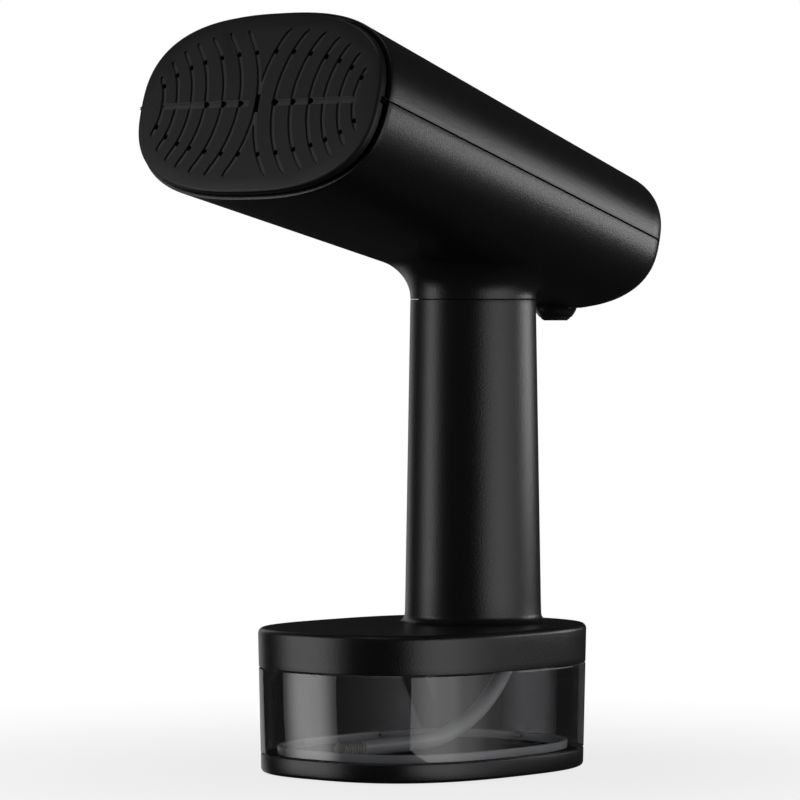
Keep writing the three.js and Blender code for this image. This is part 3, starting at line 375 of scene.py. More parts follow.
@dataclass
class Palette:
    """All finishes of the steamer, each made once and kept by slot."""

    made: dict[Slot, bpy.types.Material] = field(default_factory=dict)

    def __post_init__(self) -> None:
        """Makes one material for each slot."""
        finishes = {
            Slot.SHELL: Finish("shell_plastic", (0.0115, 0.0115, 0.012), 0.34, specular=0.38,
                               grain_size=0.5 * MM, grain_height=0.06 * MM),
            Slot.PLATE: Finish("plate_coating", (0.0135, 0.014, 0.0148), 0.46, specular=0.28,
                               grain_size=0.4 * MM, grain_height=0.03 * MM),
            Slot.INNER: Finish("inner_plastic", (0.012, 0.012, 0.0125), 0.85, specular=0.12),
            Slot.TANK: SmokedFinish(),
            Slot.SILICONE: MilkyFinish("silicone", (0.74, 0.75, 0.76), 0.3, drift=0.05,
                                       grain_height=0.004 * MM),
            Slot.RUBBER: Finish("black_rubber", (0.01, 0.01, 0.01), 0.8, specular=0.3, grain_size=0.5 * MM),
            Slot.ALUMINIUM: Finish("cast_aluminium", (0.5, 0.51, 0.52), 0.5, metallic=1.0,
                                   grain_size=0.6 * MM, grain_height=0.05 * MM),
            Slot.STEEL: BrushedFinish("zinc_plated_steel", (0.56, 0.56, 0.57), 0.3, metallic=1.0,
                                      grain_size=0.2 * MM, grain_height=0.004 * MM),
            Slot.BRASS: BrushedFinish("turned_brass", (0.62, 0.44, 0.19), 0.28, metallic=1.0,
                                      grain_size=0.2 * MM, grain_height=0.004 * MM),
            Slot.BOARD: Finish("circuit_board", (0.02, 0.12, 0.05), 0.35, grain_size=1.2 * MM,
                               grain_height=0.01 * MM, coat=0.3),
            Slot.COPPER: BrushedFinish("copper_winding", (0.45, 0.17, 0.07), 0.35, metallic=0.8,
                                       grain_size=0.3 * MM, grain_height=0.08 * MM,
                                       stretch=(0.02, 0.02, 1.0)),
            Slot.NYLON: MilkyFinish("natural_nylon", (0.66, 0.66, 0.63), 0.45, drift=0.05),
            Slot.LENS: MilkyFinish("frosted_lens", (0.6, 0.64, 0.62), 0.22, drift=0.04,
                                   grain_height=0.002 * MM),
            Slot.SLEEVE: BrushedFinish("woven_sleeve", (0.28, 0.05, 0.04), 0.7, grain_size=0.4 * MM,
                                       grain_height=0.1 * MM, stretch=(1.0, 0.4, 1.0)),
        }
        for slot, finish in finishes.items():
            self.made[slot] = finish.material()

    def dress_frame(self) -> None:
        """Gives every carried-over frame node the finish of its slot."""
        by_name = {slot.value: slot for slot in Slot}
        for entry in frame["record"]["subparts"]:
            node = frame["nodes"][entry["node"]]
            node.data.materials.clear()
            node.data.materials.append(self.made[by_name[entry["material_slot"]]])


# ---------------------------------------------------------------- modelling helpers


@dataclass(frozen=True)
class Oval:
    """A superellipse outline.

    Attributes:
        half_a: Half size along the first axis.
        half_b: Half size along the second axis.
        power: Exponent; 2 is an ellipse, more is squarer.
    """

    half_a: float
    half_b: float
    power: float = 2.0

    def point(self, turn: float, inset: float = 0.0) -> tuple[float, float]:
        """The outline's point at a turn, moved in by an inset."""
        a, b = math.cos(turn), math.sin(turn)
        exponent = 2 / self.power
        return ((self.half_a - inset) * math.copysign(abs(a) ** exponent, a),
                (self.half_b - inset) * math.copysign(abs(b) ** exponent, b))

    def upright(self, turn: float, along: float, inset: float = 0.0) -> Vector:
        """The same point with the outline standing upright at a place along Y."""
        a, b = self.point(turn, inset)
        return Vector((a, along, b))

    def reach(self, a: float, b: float) -> float:
        """How far the outline is along a direction from its middle."""
        length = math.hypot(a, b) or 1.0
        a, b = a / length, b / length
        return (abs(a / self.half_a) ** self.power + abs(b / self.half_b) ** self.power) ** (-1 / self.power)


class Skin:
    """A surface grown ring by ring from a circle of vertices.

    Every vertex keeps its turn round the ring, so that a place can be worked out for its copy.
    """

    def __init__(self, sides: int) -> None:
        """Starts the mesh with one ring of the given number of sides."""
        self.bm = bmesh.new()
        self.turn = self.bm.verts.layers.float.new("turn")
        self.lean = self.bm.verts.layers.float_vector.new("lean")
        made = bmesh.ops.create_circle(self.bm, cap_ends=False, segments=sides, radius=1.0)
        for vert in made["verts"]:
            vert[self.turn] = math.atan2(vert.co.y, vert.co.x)
        self.ring = self.bm.edges[:]

    @classmethod
    def solid(cls, sides: int, places: Iterable[Place]) -> "Skin":
        """A closed body that runs through the given rings and is capped at both ends."""
        first, *rest = places
        skin = cls(sides)
        skin.start(first)
        skin.fill()
        skin.sweep(rest)
        skin.fill()
        skin.outward()
        return skin

    @classmethod
    def hoop(cls, sides: int, places: Iterable[Place]) -> "Skin":
        """A ring-shaped body whose closed section runs through the given rings."""
        first, *rest = places
        skin = cls(sides)
        skin.start(first)
        skin.sweep(rest)
        skin.close()
        skin.outward()
        return skin

    def start(self, place: Place) -> None:
        """Moves the first ring to its place."""
        for vert in self.ring_verts():
            vert.co = place(vert[self.turn], vert.co)

    def ring_verts(self) -> set[bmesh.types.BMVert]:
        """The vertices of the last ring."""
        return {vert for edge in self.ring for vert in edge.verts}

    def extrude(self) -> set[bmesh.types.BMVert]:
        """Extrudes the last ring where it is and makes the new ring the last one.

        Returns:
            The new ring's vertices.
        """
        made = bmesh.ops.extrude_edge_only(self.bm, edges=self.ring)
        fresh = {g for g in made["geom"] if isinstance(g, bmesh.types.BMVert)}
        self.ring = [g for g in made["geom"] if isinstance(g, bmesh.types.BMEdge)
                     and g.verts[0] in fresh and g.verts[1] in fresh]
        return fresh

    def grow(self, place: Place) -> None:
        """Extrudes the last ring and moves the new one to its place.

        Args:
            place: Gives the new place from the turn and the old place.
        """
        for vert in self.extrude():
            vert.co = place(vert[self.turn], vert.co.copy())

    def shift(self, move: Callable[[bmesh.types.BMVert], Vector]) -> None:
        """Extrudes the last ring and moves each new vertex by a step of its own."""
        for vert in self.extrude():
            vert.co = vert.co + move(vert)

    def sweep(self, places: Iterable[Place]) -> None:
        """Grows one ring for each place in turn."""
        for place in places:
            self.grow(place)

    def fill(self) -> None:
        """Closes the last ring with one flat face."""
        bmesh.ops.contextual_create(self.bm, geom=self.ring)

    def close(self) -> None:
        """Bridges the last ring to the first open one, for a ring-shaped body."""
        rim = [edge for edge in self.bm.edges if edge.is_boundary]
        bmesh.ops.bridge_loops(self.bm, edges=rim)

    def cut_patch(self, chosen: Callable[[Vector], bool], centre: Callable[[Vector], float]) -> None:
        """Removes the faces in a patch and takes its border as the last ring.

        The border's vertices get evenly spread turns, in their order along it.

        Args:
            chosen: Says whether a face with this middle belongs to the patch.
            centre: Gives the turn of a border point round the patch.
        """
        faces = [f for f in self.bm.faces if chosen(f.calc_center_median())]
        edges = {edge for f in faces for edge in f.edges}
        border = [edge for edge in edges if sum(f in faces for f in edge.link_faces) == 1]
        bmesh.ops.delete(self.bm, geom=faces, context="FACES")
        self.ring = [edge for edge in border if edge.is_valid]
        rim = {vert: centre(vert.co) for edge in self.ring for vert in edge.verts}
        beside: dict[bmesh.types.BMVert, list[bmesh.types.BMVert]] = {vert: [] for vert in rim}
        for edge in self.ring:
            one, other = edge.verts
            beside[one].append(other)
            beside[other].append(one)
        ordered = [min(rim, key=lambda vert: rim[vert])]
        ordered.append(min(beside[ordered[0]], key=lambda vert: rim[vert]))
        while len(ordered) < len(rim):
            ordered.append(next(vert for vert in beside[ordered[-1]] if vert != ordered[-2]))
        pace = 2 * math.pi / len(rim)
        first = sum(rim[vert] - pace * count for count, vert in enumerate(ordered)) / len(rim)
        for count, vert in enumerate(ordered):
            vert[self.turn] = first + pace * count

    def rim_on(self, near: Callable[[Vector], bool]) -> None:
        """Takes the open edges whose ends are near a place as the last ring."""
        self.ring = [edge for edge in self.bm.edges
                     if edge.is_boundary and all(near(vert.co) for vert in edge.verts)]

    def finish_rim(self, toward: Callable[[Vector], Vector], radius: float, flange: float,
                   steps: int = 3) -> None:
        """Rounds an open rim and turns it inwards, so that the wall's end is seen.

        Args:
            toward: The direction that the surface runs in at the rim.
            radius: Radius of the rounded edge.
            flange: How far the flat end runs in from the outside.
            steps: Number of steps of the round.
        """
        self.bm.normal_update()
        layer = self.lean
        for vert in self.ring_verts():
            vert[layer] = vert.normal.copy()
        angles = quarter(steps, first=0)
        for (low_sine, low_cosine), (sine, cosine) in zip(angles, angles[1:]):
            ahead, inward = radius * (sine - low_sine), radius * (low_cosine - cosine)
            self.shift(lambda v: toward(v.co) * ahead - Vector(v[layer]) * inward)
        if flange > radius:
            self.shift(lambda v: Vector(v[layer]) * (radius - flange))

    def outward(self, inside: Optional[Vector] = None) -> None:
        """Makes all faces point away from a point inside, or outwards where the skin is closed."""
        bmesh.ops.remove_doubles(self.bm, verts=self.bm.verts, dist=0.002 * MM)
        bmesh.ops.recalc_face_normals(self.bm, faces=self.bm.faces)
        if inside is None:
            return
        lean = sum((f.calc_center_median() - inside).dot(f.normal) * f.calc_area() for f in self.bm.faces)
        if lean < 0:
            bmesh.ops.reverse_faces(self.bm, faces=self.bm.faces)

    def soften(self, offset: float, segments: int = 3, angle: float = 35.0) -> None:
        """Rounds every edge that is sharper than an angle.

        Args:
            offset: Width of the round on each side.
            segments: Number of faces across it.
            angle: Least angle between the two faces, in degrees.
        """
        limit = math.radians(angle)
        sharp = [e for e in self.bm.edges if len(e.link_faces) == 2 and e.calc_face_angle(0.0) > limit]
        bmesh.ops.bevel(self.bm, geom=sharp, offset=offset, offset_type="OFFSET", segments=segments,
                        profile=0.5, affect="EDGES", material=-1, clamp_overlap=True)


@dataclass
class Workshop:
    """Turns finished meshes into pieces that ride on the frame."""

    palette: Palette

    def piece(self, name: str, bm: bmesh.types.BMesh, slot: Slot, body: Body, replaces: Sequence[str] = (),
              wall: float = 0.0, sharp: float = 30.0) -> bpy.types.Object:
        """Makes a piece from a mesh in the part's frame.

        Args:
            name: The piece's name.
            bm: The mesh, which is freed.
            slot: The finish.
            body: The rigid body that it rides on.
            replaces: Frame nodes that it stands for.
            wall: Thickness that an open skin gets inwards; 0 leaves it alone.
            sharp: Edges sharper than this are shaded as edges, in degrees.

        Returns:
            The finished object.
        """
        made = mesh_object(name, bm)
        mesh = made.data
        for layer in ("turn", "lean"):
            if layer in mesh.attributes:
                mesh.attributes.remove(mesh.attributes[layer])
        mesh.shade_smooth()
        mesh.set_sharp_from_angle(angle=math.radians(sharp))
        return self.adopt(made, slot, body, replaces, wall)

    def adopt(self, made: bpy.types.Object, slot: Slot, body: Body, replaces: Sequence[str],
              wall: float = 0.0) -> bpy.types.Object:
        """Links an object, gives it its finish and its wall, and lets it ride.

        Args:
            made: The object.
            slot: The finish.
            body: The rigid body that it rides on.
            replaces: Frame nodes that it stands for.
            wall: Thickness that an open skin gets inwards; 0 leaves it alone.

        Returns:
            The same object.
        """
        link(made)
        made.data.materials.append(self.palette.made[slot])
        if wall:
            solidify = made.modifiers.new("wall", "SOLIDIFY")
            solidify.thickness = wall
            solidify.offset = -1
        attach(made, body.value)
        if replaces:
            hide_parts(*replaces)
        log.info("%s on %s", made.name, body.value)
        return made


# ---------------------------------------------------------------- tank and cover outline


def height_of(node: str) -> tuple[float, float]:
    """Lowest and highest Z of a frame node."""
    low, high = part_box(node)
    return low.z, high.z


@dataclass(frozen=True)
class Foot:
    """The oval outline that the tank and the cover share, slightly narrower at the bottom.

    Attributes:
        half_x: Half size along X at the cover's top.
        half_y: Half size along Y at the cover's top.
        power: Exponent of the outline.
        draft: Size at the very bottom, as a share of the size at the top.
        cover_top: Height of the cover's top.
        sides: Sides of a ring on the outline.
    """

    half_x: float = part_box("handle_shell")[1].x
    half_y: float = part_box("handle_shell")[1].y
    power: float = 2.7
    draft: float = 0.98
    cover_top: float = height_of("tank_cup")[1] + 9.8 * MM
    sides: int = 144

    def outline(self, z: float) -> Oval:
        """The outline at a height."""
        scale = 1 - (1 - self.draft) * (self.cover_top - z) / self.cover_top
        return Oval(self.half_x * scale, self.half_y * scale, self.power)

    def at(self, inset: float, z: float) -> Place:
        """A ring that stands inside the outline by an inset, at a height."""
        outline = self.outline(z)
        return lambda turn, _: Vector((*outline.point(turn, inset), z))

    def body(self, profile: Sequence[tuple[float, float]]) -> Skin:
        """A closed oval body, capped at both ends of its profile of insets and heights."""
        return Skin.solid(self.sides, (self.at(*ring) for ring in profile))

    def hoop(self, profile: Sequence[tuple[float, float]]) -> Skin:
        """An oval ring with the given closed section of insets and heights."""
        return Skin.hoop(self.sides, (self.at(*ring) for ring in profile))


FOOT = Foot()


@dataclass
class WaterTank:
    """The removable tank: pad, base cap, smoked cup and the seal on its floor.

    Attributes:
        wall: Thickness of the cup's wall.
        floor: Thickness of its floor.
        lip: Width of the lip that enters the cover.
        cap_wall: Thickness of the base cap's wall.
        pad_inset: Distance of the pad's edge from the outline.
        ledge: How far the seal stands in from the outline.
        tabs: Number of tabs on the seal.
        gap: Gap between neighbouring pieces.
        skin_depth: How deep inside the outline a face still counts as the tank's outer face.
    """

    shop: Workshop
    wall: float = 2.4 * MM
    floor: float = 2.0 * MM
    lip: float = 1.8 * MM
    cap_wall: float = 2.0 * MM
    pad_inset: float = 7.0 * MM
    ledge: float = 4.3 * MM
    tabs: int = 10
    gap: float = 0.3 * MM
    skin_depth: float = 1.2 * MM

    def build(self) -> None:
        """Builds the four pieces of the tank."""
        self.pad()
        self.cap()
        self.cup()
        self.seal()

    def pad(self) -> None:
        """The rubber pad that the steamer stands on, flat underneath."""
        low, high = height_of("anti_slip_pad")
        inset = self.pad_inset
        skin = FOOT.body([(inset + 6 * MM, low), (inset + 3 * MM, low), (inset, low), (inset, high),
                          (inset + 6 * MM, high)])
        skin.soften(0.35 * MM)
        self.shop.piece("rubber_foot", skin.bm, Slot.RUBBER, Body.TANK, ["anti_slip_pad"])

    def cap(self) -> None:
        """The black base cap: a shallow dish with a rounded lower edge and a recess for the pad."""
        low, high = height_of("base_cap")
        recess, floor = height_of("anti_slip_pad")[1] + self.gap, height_of("tank_cup")[0] - self.gap
        inner = self.pad_inset - self.gap
        skin = FOOT.body([(inner, recess), (inner, low), (1.1 * MM, low), (0.32 * MM, low + 0.32 * MM),
                          (0, low + 1.1 * MM), (0, high), (self.cap_wall, high), (self.cap_wall, floor)])
        skin.soften(0.3 * MM)
        self.shop.piece("tank_base", skin.bm, Slot.SHELL, Body.TANK, ["base_cap"])

    def cup(self) -> None:
        """The smoked cup with a lip that enters the cover."""
        low, high = height_of("tank_cup")
        shoulder = height_of("handle_shell")[0] - self.gap
        step = height_of("base_cap")[1] + self.gap
        floor = low + self.floor
        lip = self.wall + 0.1 * MM
        skin = FOOT.body([
            (self.cap_wall + self.gap, low), (self.cap_wall + self.gap, step), (0, step), (0, shoulder),
            (lip, shoulder), (lip, high), (lip + self.lip, high), (lip + self.lip, shoulder - 1.7 * MM),
            (self.wall, shoulder - 3.7 * MM), (self.wall, floor + 3.2 * MM),
            (self.ledge, floor + 2.4 * MM), (self.ledge, floor)])
        skin.soften(0.3 * MM)
        skin.bm.normal_update()
        for face in skin.bm.faces:
            middle = face.calc_center_median()
            edge = FOOT.outline(middle.z).reach(middle.x, middle.y)
            level = abs(face.normal.z) > 0.5
            face.material_index = int(level or edge - middle.to_2d().length > self.skin_depth)
        made = self.shop.piece("tank_wall", skin.bm, Slot.TANK, Body.TANK, ["tank_cup"])
        inside = SmokedFinish("smoked_inside", tint=0.9, gloss=0.3, mirror=0.004, rim=0.1)
        made.data.materials.append(inside.material())

    def seal(self) -> None:
        """The ring on the tank's floor, with small tabs inside it, in light milky silicone whose lightness is a
        painted highlight for the light that the clear moulding catches.
        """
        low, high = height_of("floor_ring")
        outer, inner = self.ledge + self.gap, self.ledge + self.gap + 1.6 * MM
        skin = FOOT.hoop([(outer, low), (outer, high), (inner, high), (inner, low)])
        skin.soften(0.35 * MM)
        outline = FOOT.outline(low)
        for count in range(self.tabs):
            turn = 2 * math.pi * (count + 0.5) / self.tabs
            x, y = outline.point(turn, inner)
            across = math.atan2(y / outline.half_b ** 2, x / outline.half_a ** 2)
            turned = Matrix.Translation((x, y, high - 0.9 * MM)) @ Matrix.Rotation(across, 4, "Z")
            corners = add_block(skin.bm, (2.6 * MM, 3.4 * MM, 1.2 * MM), turned)
            edges = list({edge for vert in corners for edge in vert.link_edges})
            bmesh.ops.bevel(skin.bm, geom=edges, offset=0.3 * MM, offset_type="OFFSET", segments=2,
                            profile=0.5, affect="EDGES", material=-1, clamp_overlap=True)
        # The light silicone finish stands in for the highlight on the clear floor moulding: painted highlight.
        self.shop.piece("tank_ring_painted_highlight", skin.bm, Slot.SILICONE, Body.TANK, ["floor_ring"])


# ---------------------------------------------------------------- handle


@dataclass
class Handle:
    """The conical grip moulded in one with the tank's cover, and its controls on the rear.

    Attributes:
        axis_y: Where the grip's axis stands.
        radius_low: The grip's radius at the cover.
        radius_high: Its radius at the top.
        fillet: Radius of the fillet at the grip's foot.
        edge: Radius of the cover's upper edge.
        wall: Thickness of the wall.
        rim: Height of the rounded rim under the cover.
        top_gap: How far the rounded top rim starts below the top.
        sides: Sides of a ring round the grip.
        row: Height of a row of faces where the controls are.
        plain_row: The same where the grip is plain.
        play: Gap round the trigger.
        trigger_half: Half the trigger's width.
        trigger_power: Exponent of the trigger's outline.
    """

    shop: Workshop
    axis_y: float = 23.3 * MM
    radius_low: float = 21.0 * MM
    radius_high: float = 19.3 * MM
    fillet: float = 2.6 * MM
    edge: float = 1.8 * MM
    wall: float = 2.2 * MM
    rim: float = 0.3 * MM
    top_gap: float = 0.2 * MM
    sides: int = 176
    row: float = 0.5 * MM
    plain_row: float = 4.0 * MM
    play: float = 0.5 * MM
    trigger_half: float = 5.5 * MM
    trigger_power: float = 7.0

    def __post_init__(self) -> None:
        """Takes the heights from the frame."""
        self.low, self.top = height_of("handle_shell")
        self.trigger_low, self.trigger_high = height_of("steam_trigger")
        self.button_low, self.button_high = height_of("power_button")
        self.lens_low, self.lens_high = height_of("indicator_lens")

    def radius(self, z: float) -> float:
        """The grip's outer radius at a height."""
        share = (z - FOOT.cover_top) / (self.top - FOOT.cover_top)
        return self.radius_low + (self.radius_high - self.radius_low) * share

    def build(self) -> None:
        """Builds the shell and the three controls."""
        self.shell()
        self.trigger()
        self.button()
        self.lens()

    def around(self, outline: Oval, inset: float, z: float) -> Place:
        """A ring on the cover's outline, with its vertices spread evenly as seen from the grip."""

        def place(turn: float, _: Vector) -> Vector:
            """The point on the outline in a direction from the grip."""
            across, ahead = math.cos(turn), math.sin(turn)

            def inside(reach: float) -> bool:
                """Whether a point this far from the grip is within the outline."""
                x, y = across * reach, self.axis_y + ahead * reach
                return outline.reach(x, y) - inset * 0.999 > math.hypot(x, y)

            reach = furthest(0.0, 2 * outline.half_b, inside)
            return Vector((across * reach, self.axis_y + ahead * reach, z))

        return place

    def circle(self, radius: float, z: float) -> Place:
        """A ring round the grip's axis."""
        return lambda turn, _: Vector((radius * math.cos(turn), self.axis_y + radius * math.sin(turn), z))

    def shell(self) -> None:
        """Cover, fillet and grip as one open skin, with the control openings, then a wall inwards."""
        skin = Skin(self.sides)
        top = FOOT.cover_top
        middle = Vector((0, self.axis_y, (self.low + top) / 2))
        skin.start(self.around(FOOT.outline(self.low), 0, self.low + self.rim))
        levels = [self.low + 2 * MM, top - self.edge - 3 * MM, top - self.edge]
        skin.sweep(self.around(FOOT.outline(z), 0, z) for z in levels)
        skin.sweep(self.around(FOOT.outline(top), self.edge * (1 - cosine), top - self.edge * (1 - sine))
                   for sine, cosine in quarter(6))
        foot = self.radius_low + self.fillet
        for left in range(8, 0, -1):
            skin.grow(lambda turn, old: self.toward_circle(old, foot, left))
        skin.sweep(self.circle(self.radius_low + self.fillet * (1 - sine), top + self.fillet * (1 - cosine))
                   for sine, cosine in quarter(8))
        rows = self.rows(top + self.fillet, self.top - self.top_gap)
        skin.sweep(self.circle(self.radius(z), z) for z in rows)
        skin.outward(middle)
        skin.rim_on(lambda p: abs(p.z - self.top + self.top_gap) < 0.01 * MM)
        skin.finish_rim(lambda p: Vector((0, 0, 1)), self.top_gap, self.wall)
        skin.rim_on(lambda p: abs(p.z - self.low - self.rim) < 0.01 * MM)
        skin.finish_rim(lambda p: Vector((0, 0, -1)), self.rim, self.wall)
        for low, high, outline in (
                (self.trigger_low, self.trigger_high, Oval(
                    self.trigger_half + self.play, (self.trigger_high - self.trigger_low) / 2 + self.play,
                    self.trigger_power)),
                (self.button_low, self.button_high, Oval(5 * MM, 5 * MM)),
                (self.lens_low, self.lens_high, Oval(1.8 * MM, 1.8 * MM))):
            self.opening(skin, (low + high) / 2, outline)
        skin.outward(middle)
        self.shop.piece("grip_and_cover", skin.bm, Slot.SHELL, Body.UNIT, ["handle_shell"], wall=2.0 * MM)

    def rows(self, z: float, end: float) -> Iterator[float]:
        """Heights of the grip's rings, close together where the controls are.

        Args:
            z: Where the grip starts, over its fillet.
            end: Height of the last ring.

        Yields:
            Each height in turn.
        """
        while z < self.button_low - 2 * MM:
            z += self.plain_row
            yield z
        while z < self.trigger_high + 2 * MM:
            z += self.row
            yield z
        while z + self.plain_row < end:
            z += self.plain_row
            yield z
        yield end

    def toward_circle(self, old: Vector, radius: float, left: int) -> Vector:
        """One of the rings that lead from the cover's edge in to the foot of the grip."""
        flat = Vector((old.x, old.y - self.axis_y))
        reach = flat.length + (radius - flat.length) / left
        flat = flat.normalized() * reach
        return Vector((flat.x, self.axis_y + flat.y, FOOT.cover_top))

    def on_grip(self, x: float, z: float, lift: float = 0.0) -> Vector:
        """A point on the rear of the grip, above its surface by a lift."""
        radius = self.radius(z) + lift
        return Vector((x, self.axis_y + math.sqrt(max(radius * radius - x * x, 0)), z))

    def opening(self, skin: Skin, middle: float, outline: Oval) -> None:
        """Cuts an opening with rounded edges into the rear of the grip.

        Args:
            skin: The grip's skin.
            middle: Height of the opening's middle.
            outline: Its outline across and up.
        """
        margin, edge = 0.45 * MM, 0.3 * MM

        def chosen(p: Vector) -> bool:
            """Whether a face belongs to the patch that the opening takes away."""
            return (p.y > self.axis_y and abs(p.x) < outline.half_a + margin
                    and abs(p.z - middle) < outline.half_b + margin)

        skin.cut_patch(chosen, lambda p: math.atan2(p.z - middle, p.x))

        def on_outline(turn: float, old: Vector, left: int) -> Vector:
            """The next place on the way to the opening's outline."""
            reach = outline.reach(math.cos(turn), math.sin(turn)) + edge
            return self.on_grip(old.x + (reach * math.cos(turn) - old.x) / left,
                                old.z + (middle + reach * math.sin(turn) - old.z) / left)

        def inwards(vert: bmesh.types.BMVert) -> Vector:
            """From a vertex straight toward the grip's axis."""
            return -Vector((vert.co.x, vert.co.y - self.axis_y, 0)).normalized()

        for left in (2, 1):
            skin.grow(lambda turn, old: on_outline(turn, old, left))
        angles = quarter(4, first=0)
        for (low_sine, low_cosine), (sine, cosine) in zip(angles, angles[1:]):
            ahead, inward = edge * (sine - low_sine), edge * (low_cosine - cosine)
            skin.shift(lambda v: inwards(v) * inward
                       - Vector((math.cos(v[skin.turn]), 0, math.sin(v[skin.turn]))) * ahead)
        skin.shift(lambda v: inwards(v) * (self.wall - edge))

    def trigger(self) -> None:
        """The thumb trigger: a crowned paddle with rounded edges and a shallow dish for the thumb."""
        low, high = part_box("steam_trigger")
        middle_z, half_z = (low.z + high.z) / 2, (high.z - low.z) / 2
        outline = Oval(self.trigger_half, half_z, self.trigger_power)
        back = self.axis_y + self.radius(middle_z) - 3.0 * MM
        edge = 0.8 * MM

        def at(inset: float, drop: float) -> Place:
            """A ring inside the outline by an inset, below the crowned face by a drop."""

            def place(turn: float, _: Vector) -> Vector:
                """A point of that ring."""
                x, z = outline.point(turn, inset)
                across, up = (x / outline.half_a) ** 2, z / half_z
                crown = 0.9 * MM * across + 4.2 * MM * max(abs(up) - 0.45, 0) ** 1.6
                dish = 0.5 * MM * math.exp(-((up + 0.1) / 0.32) ** 2) * (1 - across)
                return Vector((x, high.y - crown - dish - drop, middle_z + z))

            return place

        up = Vector((0, 0, middle_z))
        skin = Skin.solid(96, [
            lambda turn, _: outline.upright(turn, back) + up, at(0, edge),
            *(at(edge * (1 - cosine), edge * (1 - sine)) for sine, cosine in quarter(5)),
            *(at(inset * MM, 0.0) for inset in (1.6, 2.6, 3.6, 4.6, 5.2))])
        pivot_z = frame_joint("steam_trigger_press")["pos_m"][2]
        add_block(skin.bm, (5 * MM, back - low.y + 0.4 * MM, 4 * MM),
                  Matrix.Translation((0, (back + low.y) / 2, pivot_z)))
        skin.outward()
        self.shop.piece("thumb_trigger", skin.bm, Slot.SHELL, Body.TRIGGER, ["steam_trigger"])

    def button(self) -> None:
        """The round power button with a dished face and an engraved ring."""
        low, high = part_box("power_button")
        radius, face = (high.z - low.z) / 2, high.y
        shank, head = 1.5 * MM, 3.4 * MM
        profile = [(shank, low.y), (shank, face - head), (radius, face - head)]
        steps = [(radius, 0.45), (radius - 0.13 * MM, 0.13), (radius - 0.45 * MM, 0.0), (3.4 * MM, 0.03),
                 (3.25 * MM, 0.22), (2.95 * MM, 0.22), (2.8 * MM, 0.06), (1.4 * MM, 0.2), (0.4 * MM, 0.24)]
        profile += [(r, face - drop * MM) for r, drop in steps]
        ring = discs((low.z + high.z) / 2)
        skin = Skin.solid(48, (ring(r, y) for r, y in profile))
        self.shop.piece("power_key", skin.bm, Slot.INNER, Body.BUTTON, ["power_button"])

    def lens(self) -> None:
        """The small indicator lens, domed on the outside."""
        low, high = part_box("indicator_lens")
        radius, dome = (high.z - low.z) / 2, 0.5 * MM
        ring = discs((low.z + high.z) / 2)
        skin = Skin.solid(32, [ring(radius, low.y), ring(radius, high.y - dome),
                               *(ring(radius * cosine, high.y - dome * (1 - sine))
                                 for sine, cosine in quarter(6)[:-1])])
        self.shop.piece("indicator_window", skin.bm, Slot.LENS, Body.UNIT, ["indicator_lens"])


def frame_joint(name: str) -> dict:
    """The frame's joint with this name."""
    return next(joint for joint in frame["joints"] if joint["name"] == name)


# ---------------------------------------------------------------- barrel


@dataclass(frozen=True)
class BarrelForm:
    """The tilted, tapering oval barrel, measured along its own axis from the plate's front.

    Attributes:
        tilt: How far its front is raised.
        face: The middle of the plate's front.
        start: Distance from there to the shells' front.
        length: Length of the shells.
        power: Exponent of the outline.
        front: Half width and half height at the front.
        rear: The same at the rear, before the round.
        round: Radius of the rounded rear end.
    """

    tilt: float = math.radians(15.25)
    face: Vector = Vector((0, -74.2 * MM, 200.45 * MM))
    start: float = 3.3 * MM
    length: float = 152.5 * MM
    power: float = 2.6
    front: tuple[float, float] = (48.9 * MM, 28.6 * MM)
    rear: tuple[float, float] = (36.4 * MM, 22.2 * MM)
    round: float = 11.1 * MM

    @property
    def end(self) -> float:
        """The rear end along the axis."""
        return self.start + self.length

    @property
    def matrix(self) -> Matrix:
        """From the barrel's own frame, across, along and up, to the part's frame."""
        return Matrix.Translation(self.face) @ Matrix.Rotation(-self.tilt, 4, "X")

    def outline(self, along: float) -> Oval:
        """The outline at a distance behind the plate's front."""
        share = (along - self.start) / self.length
        into = min(max(along - (self.end - self.round), 0) / self.round, 1)
        inset = self.round * (1 - math.sqrt(1 - into * into))
        return Oval(self.front[0] + (self.rear[0] - self.front[0]) * share - inset,
                    self.front[1] + (self.rear[1] - self.front[1]) * share - inset, self.power)

    def underside(self, x: float, y: float) -> float:
        """Height of the underside over a point of the table."""
        cos, sin = math.cos(self.tilt), math.sin(self.tilt)
        along, up = (y - self.face.y) / cos, 0.0
        for _step in range(12):
            outline = self.outline(along)
            up = -outline.half_b * max(1 - abs(x / outline.half_a) ** self.power, 0) ** (1 / self.power)
            along = (y - self.face.y - up * sin) / cos
        return self.face.z - along * sin + up * cos


